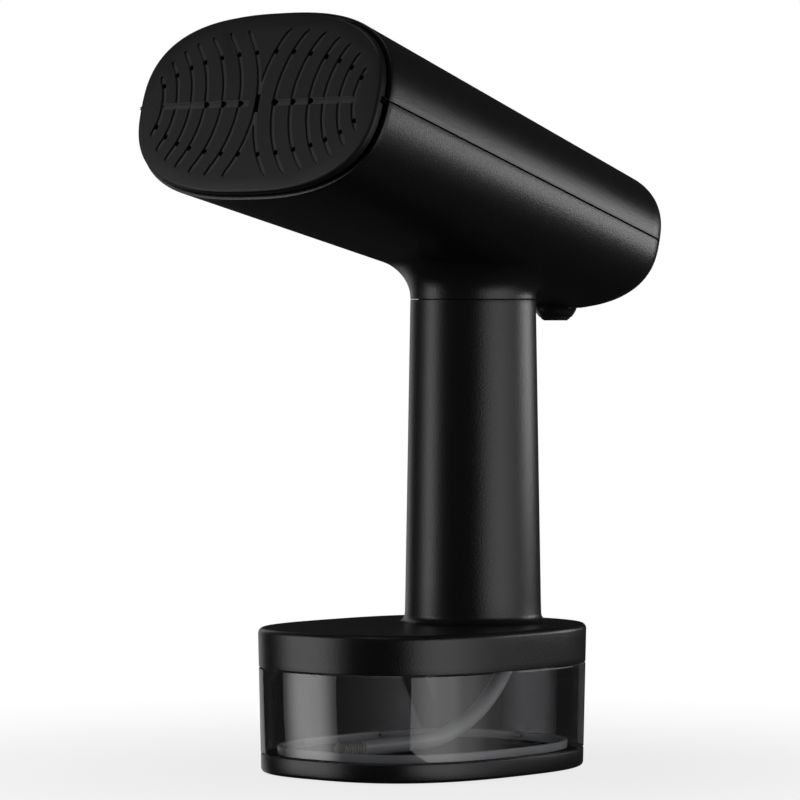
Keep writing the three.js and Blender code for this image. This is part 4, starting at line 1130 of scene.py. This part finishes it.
@dataclass
class Barrel:
    """The two shells of the barrel, with the neck and the cord boss on the lower one.

    Attributes:
        wall: Thickness of the wall.
        flange: How far the seam's faces run in from the outside.
        seam: Half the gap between the shells.
        lip: Radius of the shells' edges at the seam and of the neck's edge.
        rim: Radius of the front edge.
        sides: Sides of a ring.
        rows: Rings along the straight stretch.
        neck_front: Radius of the neck's fillet at the front.
        neck_rear: The same at the rear.
        boss_radius: Radius of the domed boss.
        boss_fillet: Radius of the fillet round it.
        gland_bore: Radius of the gland's bore.
        gland_hole: Radius of the hole that holds the gland.
        spigot: How far the neck reaches down into the grip.
    """

    shop: Workshop
    handle: Handle
    form: BarrelForm = field(default_factory=BarrelForm)
    wall: float = 2.0 * MM
    flange: float = 2.2 * MM
    seam: float = 0.15 * MM
    lip: float = 0.16 * MM
    rim: float = 0.35 * MM
    sides: int = 192
    rows: int = 90
    neck_front: float = 11.4 * MM
    neck_rear: float = 1.6 * MM
    boss_radius: float = 7.0 * MM
    boss_fillet: float = 1.8 * MM
    gland_bore: float = 3.3 * MM
    gland_hole: float = 4.9 * MM
    spigot: float = 12.0 * MM

    def build(self) -> None:
        """Builds both shells and the gland."""
        self.upper()
        self.lower()
        self.gland()

    def at(self, along: float, shrink: float = 1.0) -> Place:
        """A ring of the barrel's outline."""
        whole = self.form.outline(along)
        outline = Oval(whole.half_a * shrink, whole.half_b * shrink, whole.power)
        return lambda turn, _: self.form.matrix @ outline.upright(turn, along)

    def skin(self) -> Skin:
        """The whole barrel as an open skin, without its front."""
        form = self.form
        skin = Skin(self.sides)
        straight = form.end - form.round
        first = form.start + self.rim
        skin.start(self.at(first))
        skin.sweep(self.at(first + (straight - first) * row / self.rows) for row in range(1, self.rows + 1))
        skin.sweep(self.at(straight + form.round * sine) for sine, _ in quarter(14))
        skin.sweep(self.at(form.end, shrink) for shrink in (0.9, 0.7, 0.5, 0.3))
        skin.fill()
        skin.outward(self.middle())
        return skin

    def middle(self) -> Vector:
        """A point well inside the barrel."""
        return self.form.matrix @ Vector((0, self.form.length / 2, 0))

    def split(self, skin: Skin, side: int) -> None:
        """Cuts the skin at the seam and rounds the seam and the front rim.

        Args:
            skin: The barrel's skin.
            side: 1 keeps the upper half, -1 the lower one.
        """
        matrix = self.form.matrix
        up = matrix.to_3x3() @ Vector((0, 0, 1))
        level = side * (self.seam + self.lip)
        spot = matrix @ Vector((0, 0, level))
        geom = skin.bm.verts[:] + skin.bm.edges[:] + skin.bm.faces[:]
        bmesh.ops.bisect_plane(skin.bm, geom=geom, dist=0.0005 * MM, plane_co=spot, plane_no=up * side,
                               clear_inner=True)
        skin.rim_on(lambda p: abs((p - spot).dot(up)) < 0.002 * MM)
        skin.finish_rim(lambda p: -up * side, self.lip, self.flange)
        forward = matrix.to_3x3() @ Vector((0, -1, 0))
        front = matrix @ Vector((0, self.form.start + self.rim, 0))
        skin.rim_on(lambda p: abs((p - front).dot(forward)) < 0.002 * MM)
        skin.finish_rim(lambda p: forward, self.rim, self.flange)

    def upper(self) -> None:
        """The upper shell."""
        skin = self.skin()
        self.split(skin, 1)
        skin.outward(self.middle())
        self.shop.piece("barrel_top", skin.bm, Slot.SHELL, Body.UNIT, ["upper_shell"], wall=self.wall)

    def lower(self) -> None:
        """The lower shell with the neck and the boss."""
        skin = self.skin()
        self.neck(skin)
        self.boss(skin)
        self.split(skin, -1)
        skin.outward(self.middle())
        self.shop.piece("barrel_bottom", skin.bm, Slot.SHELL, Body.UNIT, ["lower_shell"], wall=self.wall)

    def neck(self, skin: Skin) -> None:
        """Grows the neck out of the underside with a fillet that is widest at the front."""
        handle, form = self.handle, self.form
        axis = Vector((0, handle.axis_y))
        radius = handle.radius_high
        bottom = handle.top + 0.1 * MM
        to_own = form.matrix.inverted()
        middle = to_own @ Vector((0, handle.axis_y, form.underside(0, handle.axis_y)))
        sideways, ahead, behind = radius + 9 * MM, radius + 14 * MM, radius + 5.2 * MM

        def chosen(p: Vector) -> bool:
            """Whether a face belongs to the patch that the neck takes away."""
            own = to_own @ p
            return own.z < 0 and abs(own.x) < sideways and -ahead < own.y - middle.y < behind

        skin.cut_patch(chosen, lambda p: math.atan2(p.y - axis.y, p.x))

        def fillet(turn: float) -> float:
            """The fillet's radius in a direction, as large as there is room for."""
            share = (1 - math.sin(turn)) / 2
            wanted = self.neck_rear + (self.neck_front - self.neck_rear) * share
            x, y = radius * math.cos(turn), axis.y + radius * math.sin(turn)
            return min(wanted, form.underside(x, y) - bottom - 0.5 * MM)

        def spot(turn: float, reach: float, drop: float) -> Vector:
            """A point at a distance from the axis, below the barrel by a drop."""
            x, y = reach * math.cos(turn), axis.y + reach * math.sin(turn)
            return Vector((x, y, form.underside(x, y) - drop))

        def closer(turn: float, old: Vector, left: int) -> Vector:
            """The next place on the way along the barrel to the fillet."""
            made = old + (spot(turn, radius + fillet(turn), 0.0) - old) / left
            return Vector((made.x, made.y, form.underside(made.x, made.y)))

        for left in range(6, 0, -1):
            skin.grow(lambda turn, old: closer(turn, old, left))
        for sine, cosine in reversed(quarter(12, first=0)[:-1]):
            skin.grow(lambda turn, _: spot(
                turn, radius + fillet(turn) * (1 - cosine), fillet(turn) * (1 - sine)))
        skin.grow(lambda turn, old: Vector((old.x, old.y, bottom + self.lip)))
        skin.outward(self.middle())
        skin.rim_on(lambda p: abs(p.z - bottom - self.lip) < 0.002 * MM)
        skin.finish_rim(lambda p: Vector((0, 0, -1)), self.lip, self.flange + 0.3 * MM)
        foot = handle.top - self.spigot
        skin.grow(handle.circle(handle.radius(foot) - handle.wall - 0.3 * MM, foot))

    def boss(self, skin: Skin) -> None:
        """Grows the domed boss for the cord out of the rear of the underside, with a small fillet."""
        form = self.form
        low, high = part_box("cord_gland")
        radius, fillet = self.boss_radius, self.boss_fillet
        centre = Vector((0, (low.y + high.y) / 2, low.z + math.sqrt(radius ** 2 - self.gland_bore ** 2)))
        to_own = form.matrix.inverted()
        first = (to_own @ centre).y - radius - 3.6 * MM
        plain = BVHTree.FromBMesh(skin.bm)

        def chosen(p: Vector) -> bool:
            """Whether a face belongs to the patch that the boss takes away."""
            own = to_own @ p
            return own.z < 0 and abs(own.x) < radius + 4 * MM and first < own.y < form.end - 0.005 * MM

        skin.cut_patch(chosen, lambda p: math.atan2(p.y - centre.y, p.x))

        @cache
        def ball(turn: float) -> tuple[Vector, Vector, Vector]:
            """Where a ball rests between barrel and dome, and where it touches the one and the other."""
            out = Vector((math.cos(turn), math.sin(turn), 0))

            def spot(angle: float) -> Vector:
                """The ball's middle at an angle from straight down."""
                return centre + (out * math.sin(angle) - Vector((0, 0, math.cos(angle)))) * (radius + fillet)

            def clear(angle: float) -> bool:
                """Whether the ball there is clear of the barrel."""
                foot, normal, _index, gap = plain.find_nearest(spot(angle))
                return gap > fillet and (spot(angle) - foot).dot(normal) > 0

            rest = spot(furthest(0.0, math.radians(150), clear))
            return rest, plain.find_nearest(rest)[0], centre + (rest - centre).normalized() * radius

        def on_fillet(turn: float, share: float) -> Vector:
            """A point of the fillet, from the barrel at 0 to the dome at 1."""
            rest, on_barrel, on_dome = ball(turn)
            way = (on_barrel - rest).normalized().slerp((on_dome - rest).normalized(), share)
            return rest + way * fillet

        def on_dome(turn: float, share: float) -> Vector:
            """A point of the dome, from the fillet at 0 to the gland's hole at 1."""
            way = (ball(turn)[2] - centre).normalized()
            angle = math.acos(max(-1.0, min(1.0, -way.z)))
            angle += (math.asin(self.gland_hole / radius) - angle) * share
            across = radius * math.sin(angle)
            return centre + Vector((across * math.cos(turn), across * math.sin(turn), -radius * math.cos(angle)))

        for left in range(4, 0, -1):
            skin.grow(lambda turn, old: plain.find_nearest(old + (ball(turn)[1] - old) / left)[0])
        for step in range(1, 6):
            skin.grow(lambda turn, _: on_fillet(turn, step / 5))
        for step in range(1, 9):
            skin.grow(lambda turn, _: on_dome(turn, step / 8))
        skin.shift(lambda v: Vector((0, 0, 6 * MM)))

    def gland(self) -> None:
        """The rubber gland in the boss, ribbed inside its mouth, with an open bore for the cord."""
        low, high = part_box("cord_gland")
        middle, face = (low.y + high.y) / 2, low.z
        outer, bore = high.x, self.gland_bore
        height = face + math.sqrt(self.boss_radius ** 2 - bore ** 2)

        def ring(radius: float, z: float) -> Place:
            """A ring round the bore."""
            return lambda turn, _: Vector((radius * math.cos(turn), middle + radius * math.sin(turn), z))

        def dome(radius: float) -> float:
            """Height of the boss's dome at a distance from the bore's axis."""
            return height - math.sqrt(self.boss_radius ** 2 - radius ** 2)

        profile = [(bore, face + 0.45 * MM), (bore + 0.1 * MM, face + 0.2 * MM)]
        mouth = [bore + 0.3 * MM, bore + 0.6 * MM, bore + 0.9 * MM, outer - 0.12 * MM]
        profile += [(r, dome(r)) for r in mouth]
        profile += [(outer, dome(outer) + 0.15 * MM), (outer, high.z), (bore, high.z)]
        for rib in range(3, 0, -1):
            z = face + rib * 2 * MM
            profile += [(bore, z + 0.5 * MM), (bore + 0.35 * MM, z + 0.3 * MM),
                        (bore + 0.35 * MM, z - 0.3 * MM), (bore, z - 0.5 * MM)]
        skin = Skin.hoop(64, (ring(r, z) for r, z in profile))
        self.shop.piece("cord_grommet", skin.bm, Slot.RUBBER, Body.UNIT, ["cord_gland"])


# ---------------------------------------------------------------- steam plate


@dataclass
class SteamPlate:
    """The flat steam plate with curved grooves, a stepped channel on its mid-line and steam holes.

    Attributes:
        half_a: Half its width.
        half_b: Half its height.
        thick: Its thickness.
        edge: Radius of its front edge.
        crossings: Where each groove of one half meets the mid-line, in mm from the middle.
        radii: Each groove's radius, in mm.
        margin: Distance from the outline to the ends of the grooves.
        width: Width of a groove.
        depth: Depth of a groove.
        hole_share: Height of the outer holes, as a share of their groove's half height.
        stretches: Where the channel's two stretches start and end.
    """

    shop: Workshop
    form: BarrelForm = field(default_factory=BarrelForm)
    half_a: float = 47.5 * MM
    half_b: float = 27.3 * MM
    thick: float = 2.6 * MM
    edge: float = 1.0 * MM
    crossings: tuple[float, ...] = (0, 6.9, 13.8, 20.7, 26.5, 32.5, 38)
    radii: tuple[float, ...] = (33.2, 30.9, 28.8, 27.1, 24.6, 21.4, 15.7)
    margin: float = 4.9 * MM
    width: float = 1.3 * MM
    depth: float = 0.45 * MM
    hole_share: float = 0.7
    stretches: tuple[tuple[float, float], ...] = ((-39.0 * MM, -3.0 * MM), (6.3 * MM, 38.9 * MM))

    def build(self) -> None:
        """Builds the plate and the bezel behind it."""
        self.plate()
        self.bezel()

    def outline(self) -> Oval:
        """The plate's outline."""
        return Oval(self.half_a, self.half_b, self.form.power)

    def plate(self) -> None:
        """The plate: an oval slab, cut by grooves, channels and holes; the forward-facing floors of the grooves
        and channels get a lighter copy of the coating, as painted light.
        """
        outline = self.outline()

        def ring(inset: float, along: float) -> Place:
            """A ring inside the outline by an inset, at a depth."""
            return lambda turn, _: outline.upright(turn, along, inset)

        front = [ring(self.edge * (1 - cosine), self.edge * (1 - sine)) for sine, cosine in quarter(5, first=0)]
        skin = Skin.solid(160, [
            ring(1.2 * MM, self.thick), ring(0.3 * MM, self.thick), ring(0, self.thick - 0.3 * MM), *front])
        slab = mesh_object("steam_plate_slab", skin.bm)
        link(slab)
        cutters = [self.grooves(1), self.grooves(-1), self.channels(1.1 * MM, 0.3 * MM, 0.0),
                   self.channels(0.5 * MM, 0.6 * MM, 0.5 * MM), self.holes()]
        for cutter in cutters:
            link(cutter)
            difference = slab.modifiers.new(cutter.name, "BOOLEAN")
            difference.operation = "DIFFERENCE"
            difference.solver = "EXACT"
            difference.use_self = True
            difference.object = cutter
        bpy.context.view_layer.update()
        ready = slab.evaluated_get(bpy.context.evaluated_depsgraph_get())
        bm = bmesh.new()
        bm.from_mesh(ready.to_mesh())
        for made in (slab, *cutters):
            bpy.data.objects.remove(made)
        bm.normal_update()
        # Forward-facing groove and channel floors are marked for a lighter copy of the coating: painted light for
        # the light that these floors catch.
        for face in bm.faces:
            middle = face.calc_center_median()
            within = outline.reach(middle.x, middle.z) - math.hypot(middle.x, middle.z) > self.margin / 2
            sunk = 0.15 * MM < middle.y < 0.9 * MM and face.normal.y < -0.7
            face.material_index = int(within and sunk)
        bmesh.ops.transform(bm, matrix=self.form.matrix, verts=bm.verts)
        made = self.shop.piece("steam_plate", bm, Slot.PLATE, Body.UNIT, ["face_plate"], sharp=24)
        # The lighter copy of the plate coating for those floors is painted light, not a colour of the coating.
        floors = Finish("plate_floors_painted_light", (0.034, 0.035, 0.036), 0.42, specular=0.4)
        made.data.materials.append(floors.material())

    def groove_sweep(self, crossing: float, radius: float) -> float:
        """Half the angle of a groove, up to the line that bounds the pattern."""
        bound = Oval(self.half_a - self.margin, self.half_b - self.margin, self.form.power)

        def inside(sweep: float) -> bool:
            """Whether the groove's point at this angle is within the pattern."""
            x, z = crossing + radius * (1 - math.cos(sweep)), radius * math.sin(sweep)
            return bound.reach(x, z) > math.hypot(x, z)

        return furthest(0.0, math.asin(min(bound.half_b / radius, 1)), inside)

    def cutter(self, name: str, bm: bmesh.types.BMesh) -> bpy.types.Object:
        """A cutter as an object, its faces pointing out."""
        bmesh.ops.recalc_face_normals(bm, faces=bm.faces)
        return mesh_object(name, bm)

    def grooves(self, side: int) -> bpy.types.Object:
        """All grooves of one half as cutters: a flared section spun along each arc, narrow at its tips.

        Args:
            side: 1 for the right half, -1 for the left one.

        Returns:
            The cutter.
        """
        bm = bmesh.new()
        half, deep, flare = self.width / 2, self.depth, 0.22 * MM
        right = [(half, deep), (half, flare), (half + flare, 0), (half + 3 * flare, -2 * flare)]
        section = [(-half, deep), *right, *((-r, v) for r, v in reversed(right[1:]))]
        for crossing, radius in zip(self.crossings, self.radii):
            crossing, radius = crossing * MM, radius * MM
            sweep = self.groove_sweep(crossing, radius)
            centre = Vector((side * (crossing + radius), 0, 0))
            first = math.pi - sweep if side > 0 else -sweep
            out = Vector((math.cos(first), 0, math.sin(first)))
            verts = [bm.verts.new(centre + out * (radius + r) + Vector((0, v, 0))) for r, v in section]
            face = bm.faces.new(verts)
            made = bmesh.ops.spin(bm, geom=[face, *face.edges, *verts], cent=centre, axis=(0, -1, 0),
                                  angle=2 * sweep, steps=22, use_merge=False, use_duplicate=False)
            last = [g for g in made["geom_last"] if isinstance(g, bmesh.types.BMVert)]
            for ends in (verts, last):
                ends = [v for v in ends if v.is_valid]
                middle = sum((v.co for v in ends), Vector()) / len(ends)
                way = Vector((middle.x - centre.x, 0, middle.z)).normalized()
                for vert in ends:
                    vert.co -= way * ((vert.co - centre).dot(way) - radius) * 0.5
            bmesh.ops.holes_fill(bm, edges=[e for e in bm.edges if e.is_boundary], sides=0)
        return self.cutter(f"groove_cutter_{'right' if side > 0 else 'left'}", bm)

    def channels(self, half: float, deep: float, start: float) -> bpy.types.Object:
        """The shallow channel along the mid-line, in two stretches, as a cutter.

        Args:
            half: Half its height.
            deep: Its depth.
            start: How much shorter it is at each end.

        Returns:
            The cutter.
        """
        bm = bmesh.new()
        for low, high in self.stretches:
            add_block(bm, (high - low - 2 * start, deep + 1 * MM, 2 * half),
                      Matrix.Translation(((low + high) / 2, (deep - 1 * MM) / 2, 0)))
        return self.cutter(f"channel_cutter_{round(half / MM * 10)}", bm)

    def holes(self) -> bpy.types.Object:
        """Steam holes and the middle slot as a cutter."""
        bm = bmesh.new()
        length = 2 * self.thick + 4 * MM

        def bore(x: float, z: float, radius: float) -> None:
            """Adds a round hole through the plate."""
            made = bmesh.ops.create_cone(bm, cap_ends=True, cap_tris=False, segments=20, radius1=radius,
                                         radius2=radius, depth=length)
            matrix = Matrix.Translation((x, 0, z)) @ Matrix.Rotation(math.pi / 2, 4, "X")
            bmesh.ops.transform(bm, matrix=matrix, verts=made["verts"])

        for count, (crossing, radius) in enumerate(zip(self.crossings, self.radii)):
            crossing, radius = crossing * MM, radius * MM
            z = self.hole_share * radius * math.sin(self.groove_sweep(crossing, radius))
            x = crossing + radius - math.sqrt(radius ** 2 - z ** 2)
            for side in (-1, 1):
                if 0 < count < 4:
                    bore(side * crossing, 0, 1.05 * MM)
                for up in (-1, 1):
                    bore(side * x, up * z, 0.8 * MM)
        add_block(bm, (1.7 * MM, length, 5.5 * MM), Matrix.Identity(4))
        return self.cutter("hole_cutter", bm)

    def bezel(self) -> None:
        """The dark bezel that closes the gap behind the plate."""
        form = self.form
        first, last = form.start + 0.3 * MM, form.start + 5.4 * MM
        outer, inner = 2.5 * MM, 5.5 * MM

        def ring(inset: float, along: float) -> Place:
            """A ring inside the barrel's outline by an inset."""
            outline = form.outline(along)
            return lambda turn, _: form.matrix @ outline.upright(turn, along, inset)

        skin = Skin.hoop(144, [ring(outer, first), ring(outer, last), ring(inner, last), ring(inner, first)])
        skin.soften(0.3 * MM)
        self.shop.piece("plate_bezel", skin.bm, Slot.INNER, Body.UNIT, ["face_bezel"])


# ---------------------------------------------------------------- suction hose


@dataclass
class SuctionLine:
    """The soft hose that runs from the lid along the tank's floor, with its strainer.

    Attributes:
        diameter: The hose's diameter.
        length: Its length; not used.
        route: The points that its middle passes, from the lid's spout to the strainer, in metres.
    """

    shop: Workshop
    diameter: float = 5.0 * MM
    length: float = 79.0 * MM
    route: tuple[tuple[float, float, float], ...] = (
        (0, 0.0415, 0.0328), (0, 0.0392, 0.0294), (0, 0.0363, 0.0257), (0, 0.0329, 0.0221),
        (0, 0.0291, 0.0189), (0, 0.0249, 0.016), (0, 0.0203, 0.0135), (0, 0.0154, 0.0115),
        (0, 0.0103, 0.01), (0, 0.005, 0.009), (0, -0.0005, 0.0086), (0, -0.006, 0.0085),
        (0, -0.012, 0.0085), (0, -0.018, 0.0085), (0, -0.024, 0.0085), (0, -0.029, 0.0085))

    def build(self) -> None:
        """Builds the strainer, then the hose that carries it."""
        strainer = self.strainer()
        curve = bpy.data.curves.new("suction_tube", "CURVE")
        curve.dimensions = "3D"
        curve.resolution_u = 8
        curve.bevel_depth = self.diameter / 2
        curve.bevel_resolution = 7
        curve.use_fill_caps = True
        spline = curve.splines.new("BEZIER")
        spline.bezier_points.add(len(self.route) - 1)
        for point, spot in zip(spline.bezier_points, self.route):
            point.co = spot
            point.handle_left_type = point.handle_right_type = "AUTO"
        hose = bpy.data.objects.new("suction_tube", curve)
        self.shop.adopt(hose, Slot.SILICONE, Body.UNIT, ["suction_hose"])
        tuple(self.route[0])

    def strainer(self) -> bpy.types.Object:
        """The strainer on the hose's end: a capped sleeve with a ring of ribs.

        Returns:
            The strainer's object.
        """
        low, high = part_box("suction_strainer")
        radius, groove = (high.x - low.x) / 2, 0.4 * MM
        ring = discs((low.z + high.z) / 2)
        places = [ring(radius - 0.8 * MM, low.y), ring(radius - 0.2 * MM, low.y + 0.3 * MM)]
        y = low.y + 0.8 * MM
        while y < high.y - 2 * MM:
            places += [ring(radius, y), ring(radius, y + 0.5 * MM), ring(radius - groove, y + 0.6 * MM),
                       ring(radius - groove, y + 1.1 * MM)]
            y += 1.2 * MM
        places += [ring(radius, y), ring(radius, high.y - 0.2 * MM), ring(radius - 0.2 * MM, high.y)]
        skin = Skin.solid(40, places)
        return self.shop.piece("hose_strainer", skin.bm, Slot.NYLON, Body.UNIT, ["suction_strainer"])


# ---------------------------------------------------------------- studio


@dataclass(frozen=True)
class Panel:
    """A soft light panel that stands round the object, seen only in what the object mirrors.

    Attributes:
        name: The light's name.
        azimuth: Where it stands, in degrees; 0 is in front of the plate and 90 on the right.
        height: Height of its middle, in metres.
        distance: Distance from the middle of the object.
        size: Width and height.
        strength: Brightness of its brightest stretch.
        stops: Places across the sheet, 0 to 1, and the share of the brightness there.
        target: The point that it faces.
    """

    name: str
    azimuth: float
    height: float
    distance: float
    size: tuple[float, float]
    strength: float
    stops: tuple[tuple[float, float], ...] = ((0.0, 1.0), (1.0, 1.0))
    target: tuple[float, float, float] = (0.0, 0.0, 0.08)

    def build(self) -> bpy.types.Object:
        """Builds the panel as a glowing sheet that the camera doesn't see.

        Returns:
            The sheet.
        """
        azimuth = math.radians(self.azimuth)
        spot = Vector((math.sin(azimuth), -math.cos(azimuth), 0)) * self.distance
        spot.z = self.height
        aim = Vector(self.target) - spot
        turn = aim.to_track_quat("-Z", "Y").to_matrix().to_4x4()
        bm = bmesh.new()
        bmesh.ops.create_grid(bm, x_segments=1, y_segments=1, size=0.5)
        bmesh.ops.scale(bm, vec=(self.size[0], self.size[1], 1), verts=bm.verts)
        sheet = mesh_object(self.name, bm)
        sheet.matrix_world = Matrix.Translation(spot) @ turn
        link(sheet)
        sheet.data.materials.append(self.glow())
        sheet.visible_camera = False
        sheet.visible_shadow = False
        return sheet

    def glow(self) -> bpy.types.Material:
        """A glow that runs through the panel's stops from side to side."""
        made = node_material(self.name, shaded=False)
        tree = made.node_tree
        across = add_node(tree, "ShaderNodeSeparateXYZ", "X", {"Vector": object_place(tree)})
        place = add_node(tree, "ShaderNodeMapRange", "Result", {
            "Value": across, "From Min": -self.size[0] / 2, "From Max": self.size[0] / 2})
        ramp = tree.nodes.new("ShaderNodeValToRGB")
        ramp.color_ramp.interpolation = "EASE"
        steps = ramp.color_ramp.elements
        while len(steps) < len(self.stops):
            steps.new(0.5)
        for step, (spot, level) in zip(steps, self.stops):
            step.position = spot
            step.color = (level, level, level, 1)
        feed(tree, ramp, {"Fac": place})
        light = add_node(tree, "ShaderNodeEmission", "Emission", {
            "Strength": self.strength, "Color": ramp.outputs["Color"]})
        feed(tree, tree.nodes["Material Output"], {"Surface": light})
        return made


@dataclass
class Studio:
    """Camera, floor, backdrop and soft lights.

    Attributes:
        pale: Brightness of floor and backdrop where they are looked at straight.
        dim: Their brightness in what the object mirrors or lets through.
        azimuth: Where the camera stands, in degrees; 0 is in front of the plate and 90 on the right.
        elevation: Its angle above the level, in degrees.
        distance: Its distance from the point that it looks at.
        aim: That point.
        lens: Its focal length, in mm.
        panels: The light panels.
    """

    pale: float = 1.0
    dim: float = 0.02
    azimuth: float = 41.28
    elevation: float = 1.14
    distance: float = 1.4458
    aim: tuple[float, float, float] = (0.00318, -0.01439, 0.11279)
    lens: float = 216.0
    panels: tuple[Panel, ...] = (
        Panel("left_panel", -42, 0.06, 1.0, (0.56, 0.9), 4.2, ((0.0, 0.16), (0.5, 1.0), (1.0, 0.16))),
        Panel("right_panel", 98, 0.0, 1.0, (1.75, 0.8), 2.3,
              ((0.0, 0.55), (0.34, 1.0), (0.49, 0.95), (0.62, 0.6), (0.84, 0.22), (1.0, 0.05))),
        Panel("barrel_panel", 152, 0.15, 0.6, (0.32, 0.14), 5.2, target=(0.0, 0.0, 0.18)),
        Panel("back_panel", -112, 0.15, 1.2, (0.5, 1.2), 0.7),
        Panel("top_panel", -20, 1.2, 0.3, (0.6, 0.6), 1.6),
    )

    def build(self) -> None:
        """Sets up the whole studio."""
        self.camera()
        self.floor()
        self.backdrop()
        for panel in self.panels:
            panel.build()
        bpy.context.scene.view_settings.view_transform = "Standard"

    def camera(self) -> None:
        """The camera, level with the handle and turned to show the plate and one side."""
        data = bpy.data.cameras.new("camera")
        data.lens = self.lens
        data.sensor_width = 36.0
        data.clip_start, data.clip_end = 0.05, 30.0
        made = bpy.data.objects.new("camera", data)
        azimuth, elevation = math.radians(self.azimuth), math.radians(self.elevation)
        back = Vector((math.sin(azimuth) * math.cos(elevation), -math.cos(azimuth) * math.cos(elevation),
                       math.sin(elevation)))
        turn = (-back).to_track_quat("-Z", "Y").to_matrix().to_4x4()
        made.matrix_world = Matrix.Translation(Vector(self.aim) + back * self.distance) @ turn
        link(made)
        bpy.context.scene.camera = made

    @staticmethod
    def straight(tree: bpy.types.NodeTree) -> bpy.types.NodeSocket:
        """1 for what is looked at past the object, 0 for what is seen in or through it."""
        path = tree.nodes.new("ShaderNodeLightPath").outputs
        unfiltered = add_node(tree, "ShaderNodeMath", "Value", {0: path["Transparent Depth"], 1: 0.5},
                              operation="LESS_THAN")
        return add_node(tree, "ShaderNodeMath", "Value", {0: path["Is Camera Ray"], 1: unfiltered},
                        operation="MULTIPLY")

    def level(self, tree: bpy.types.NodeTree, straight: bpy.types.NodeSocket) -> bpy.types.NodeSocket:
        """The brightness of floor and backdrop, pale where they are looked at straight."""
        return add_node(tree, "ShaderNodeMapRange", "Result", {
            "Value": straight, "To Min": self.dim, "To Max": self.pale})

    def backdrop(self) -> None:
        """A pale backdrop that lights the object only faintly."""
        world = bpy.data.worlds.new("studio")
        world.use_nodes = True
        tree = world.node_tree
        feed(tree, tree.nodes["Background"], {
            "Color": (1, 1, 1, 1), "Strength": self.level(tree, self.straight(tree))})
        bpy.context.scene.world = world

    def floor(self) -> None:
        """A pale floor that takes a soft shadow near the object and runs out into the backdrop."""
        bm = bmesh.new()
        bmesh.ops.create_circle(bm, cap_ends=True, segments=64, radius=12.0)
        sheet = mesh_object("floor", bm)
        sheet.location.z = -0.02 * MM
        link(sheet)
        sheet.data.materials.append(self.floor_material())
        sheet.visible_glossy = False
        sheet.visible_diffuse = False

    def floor_material(self) -> bpy.types.Material:
        """Pale and matt near the object, and as bright as the backdrop further out."""
        made = node_material("floor")
        tree = made.node_tree
        paint = tree.nodes["Principled BSDF"]
        feed(tree, paint, {"Base Color": (0.9, 0.9, 0.9, 1), "Roughness": 0.9})
        straight = self.straight(tree)
        glow = add_node(tree, "ShaderNodeEmission", "Emission", {"Strength": self.level(tree, straight)})
        reach = add_node(tree, "ShaderNodeVectorMath", "Value", {0: object_place(tree)}, operation="LENGTH")
        near = tree.nodes.new("ShaderNodeMapRange")
        near.interpolation_type = "SMOOTHSTEP"
        feed(tree, near, {"Value": reach, "From Min": 0.05, "From Max": 0.3, "To Min": 0.2, "To Max": 0.0})
        share = add_node(tree, "ShaderNodeMath", "Value", {0: near.outputs["Result"], 1: straight},
                         operation="MULTIPLY")
        both = add_node(tree, "ShaderNodeMixShader", "Shader", {
            "Fac": share, 1: glow, 2: paint.outputs["BSDF"]})
        feed(tree, tree.nodes["Material Output"], {"Surface": both})
        return made


def main() -> None:
    """Builds the studio and the steamer in order."""
    logging.basicConfig(level=logging.INFO, format="%(name)s: %(message)s")
    Studio().build()
    palette = Palette()
    palette.dress_frame()
    shop = Workshop(palette)
    SuctionLine(shop).build()
    handle = Handle(shop)
    Barrel(shop, handle).build()
    SteamPlate(shop).build()
    handle.build()
    WaterTank(shop).build()


if __name__ == "__main__":
    main()
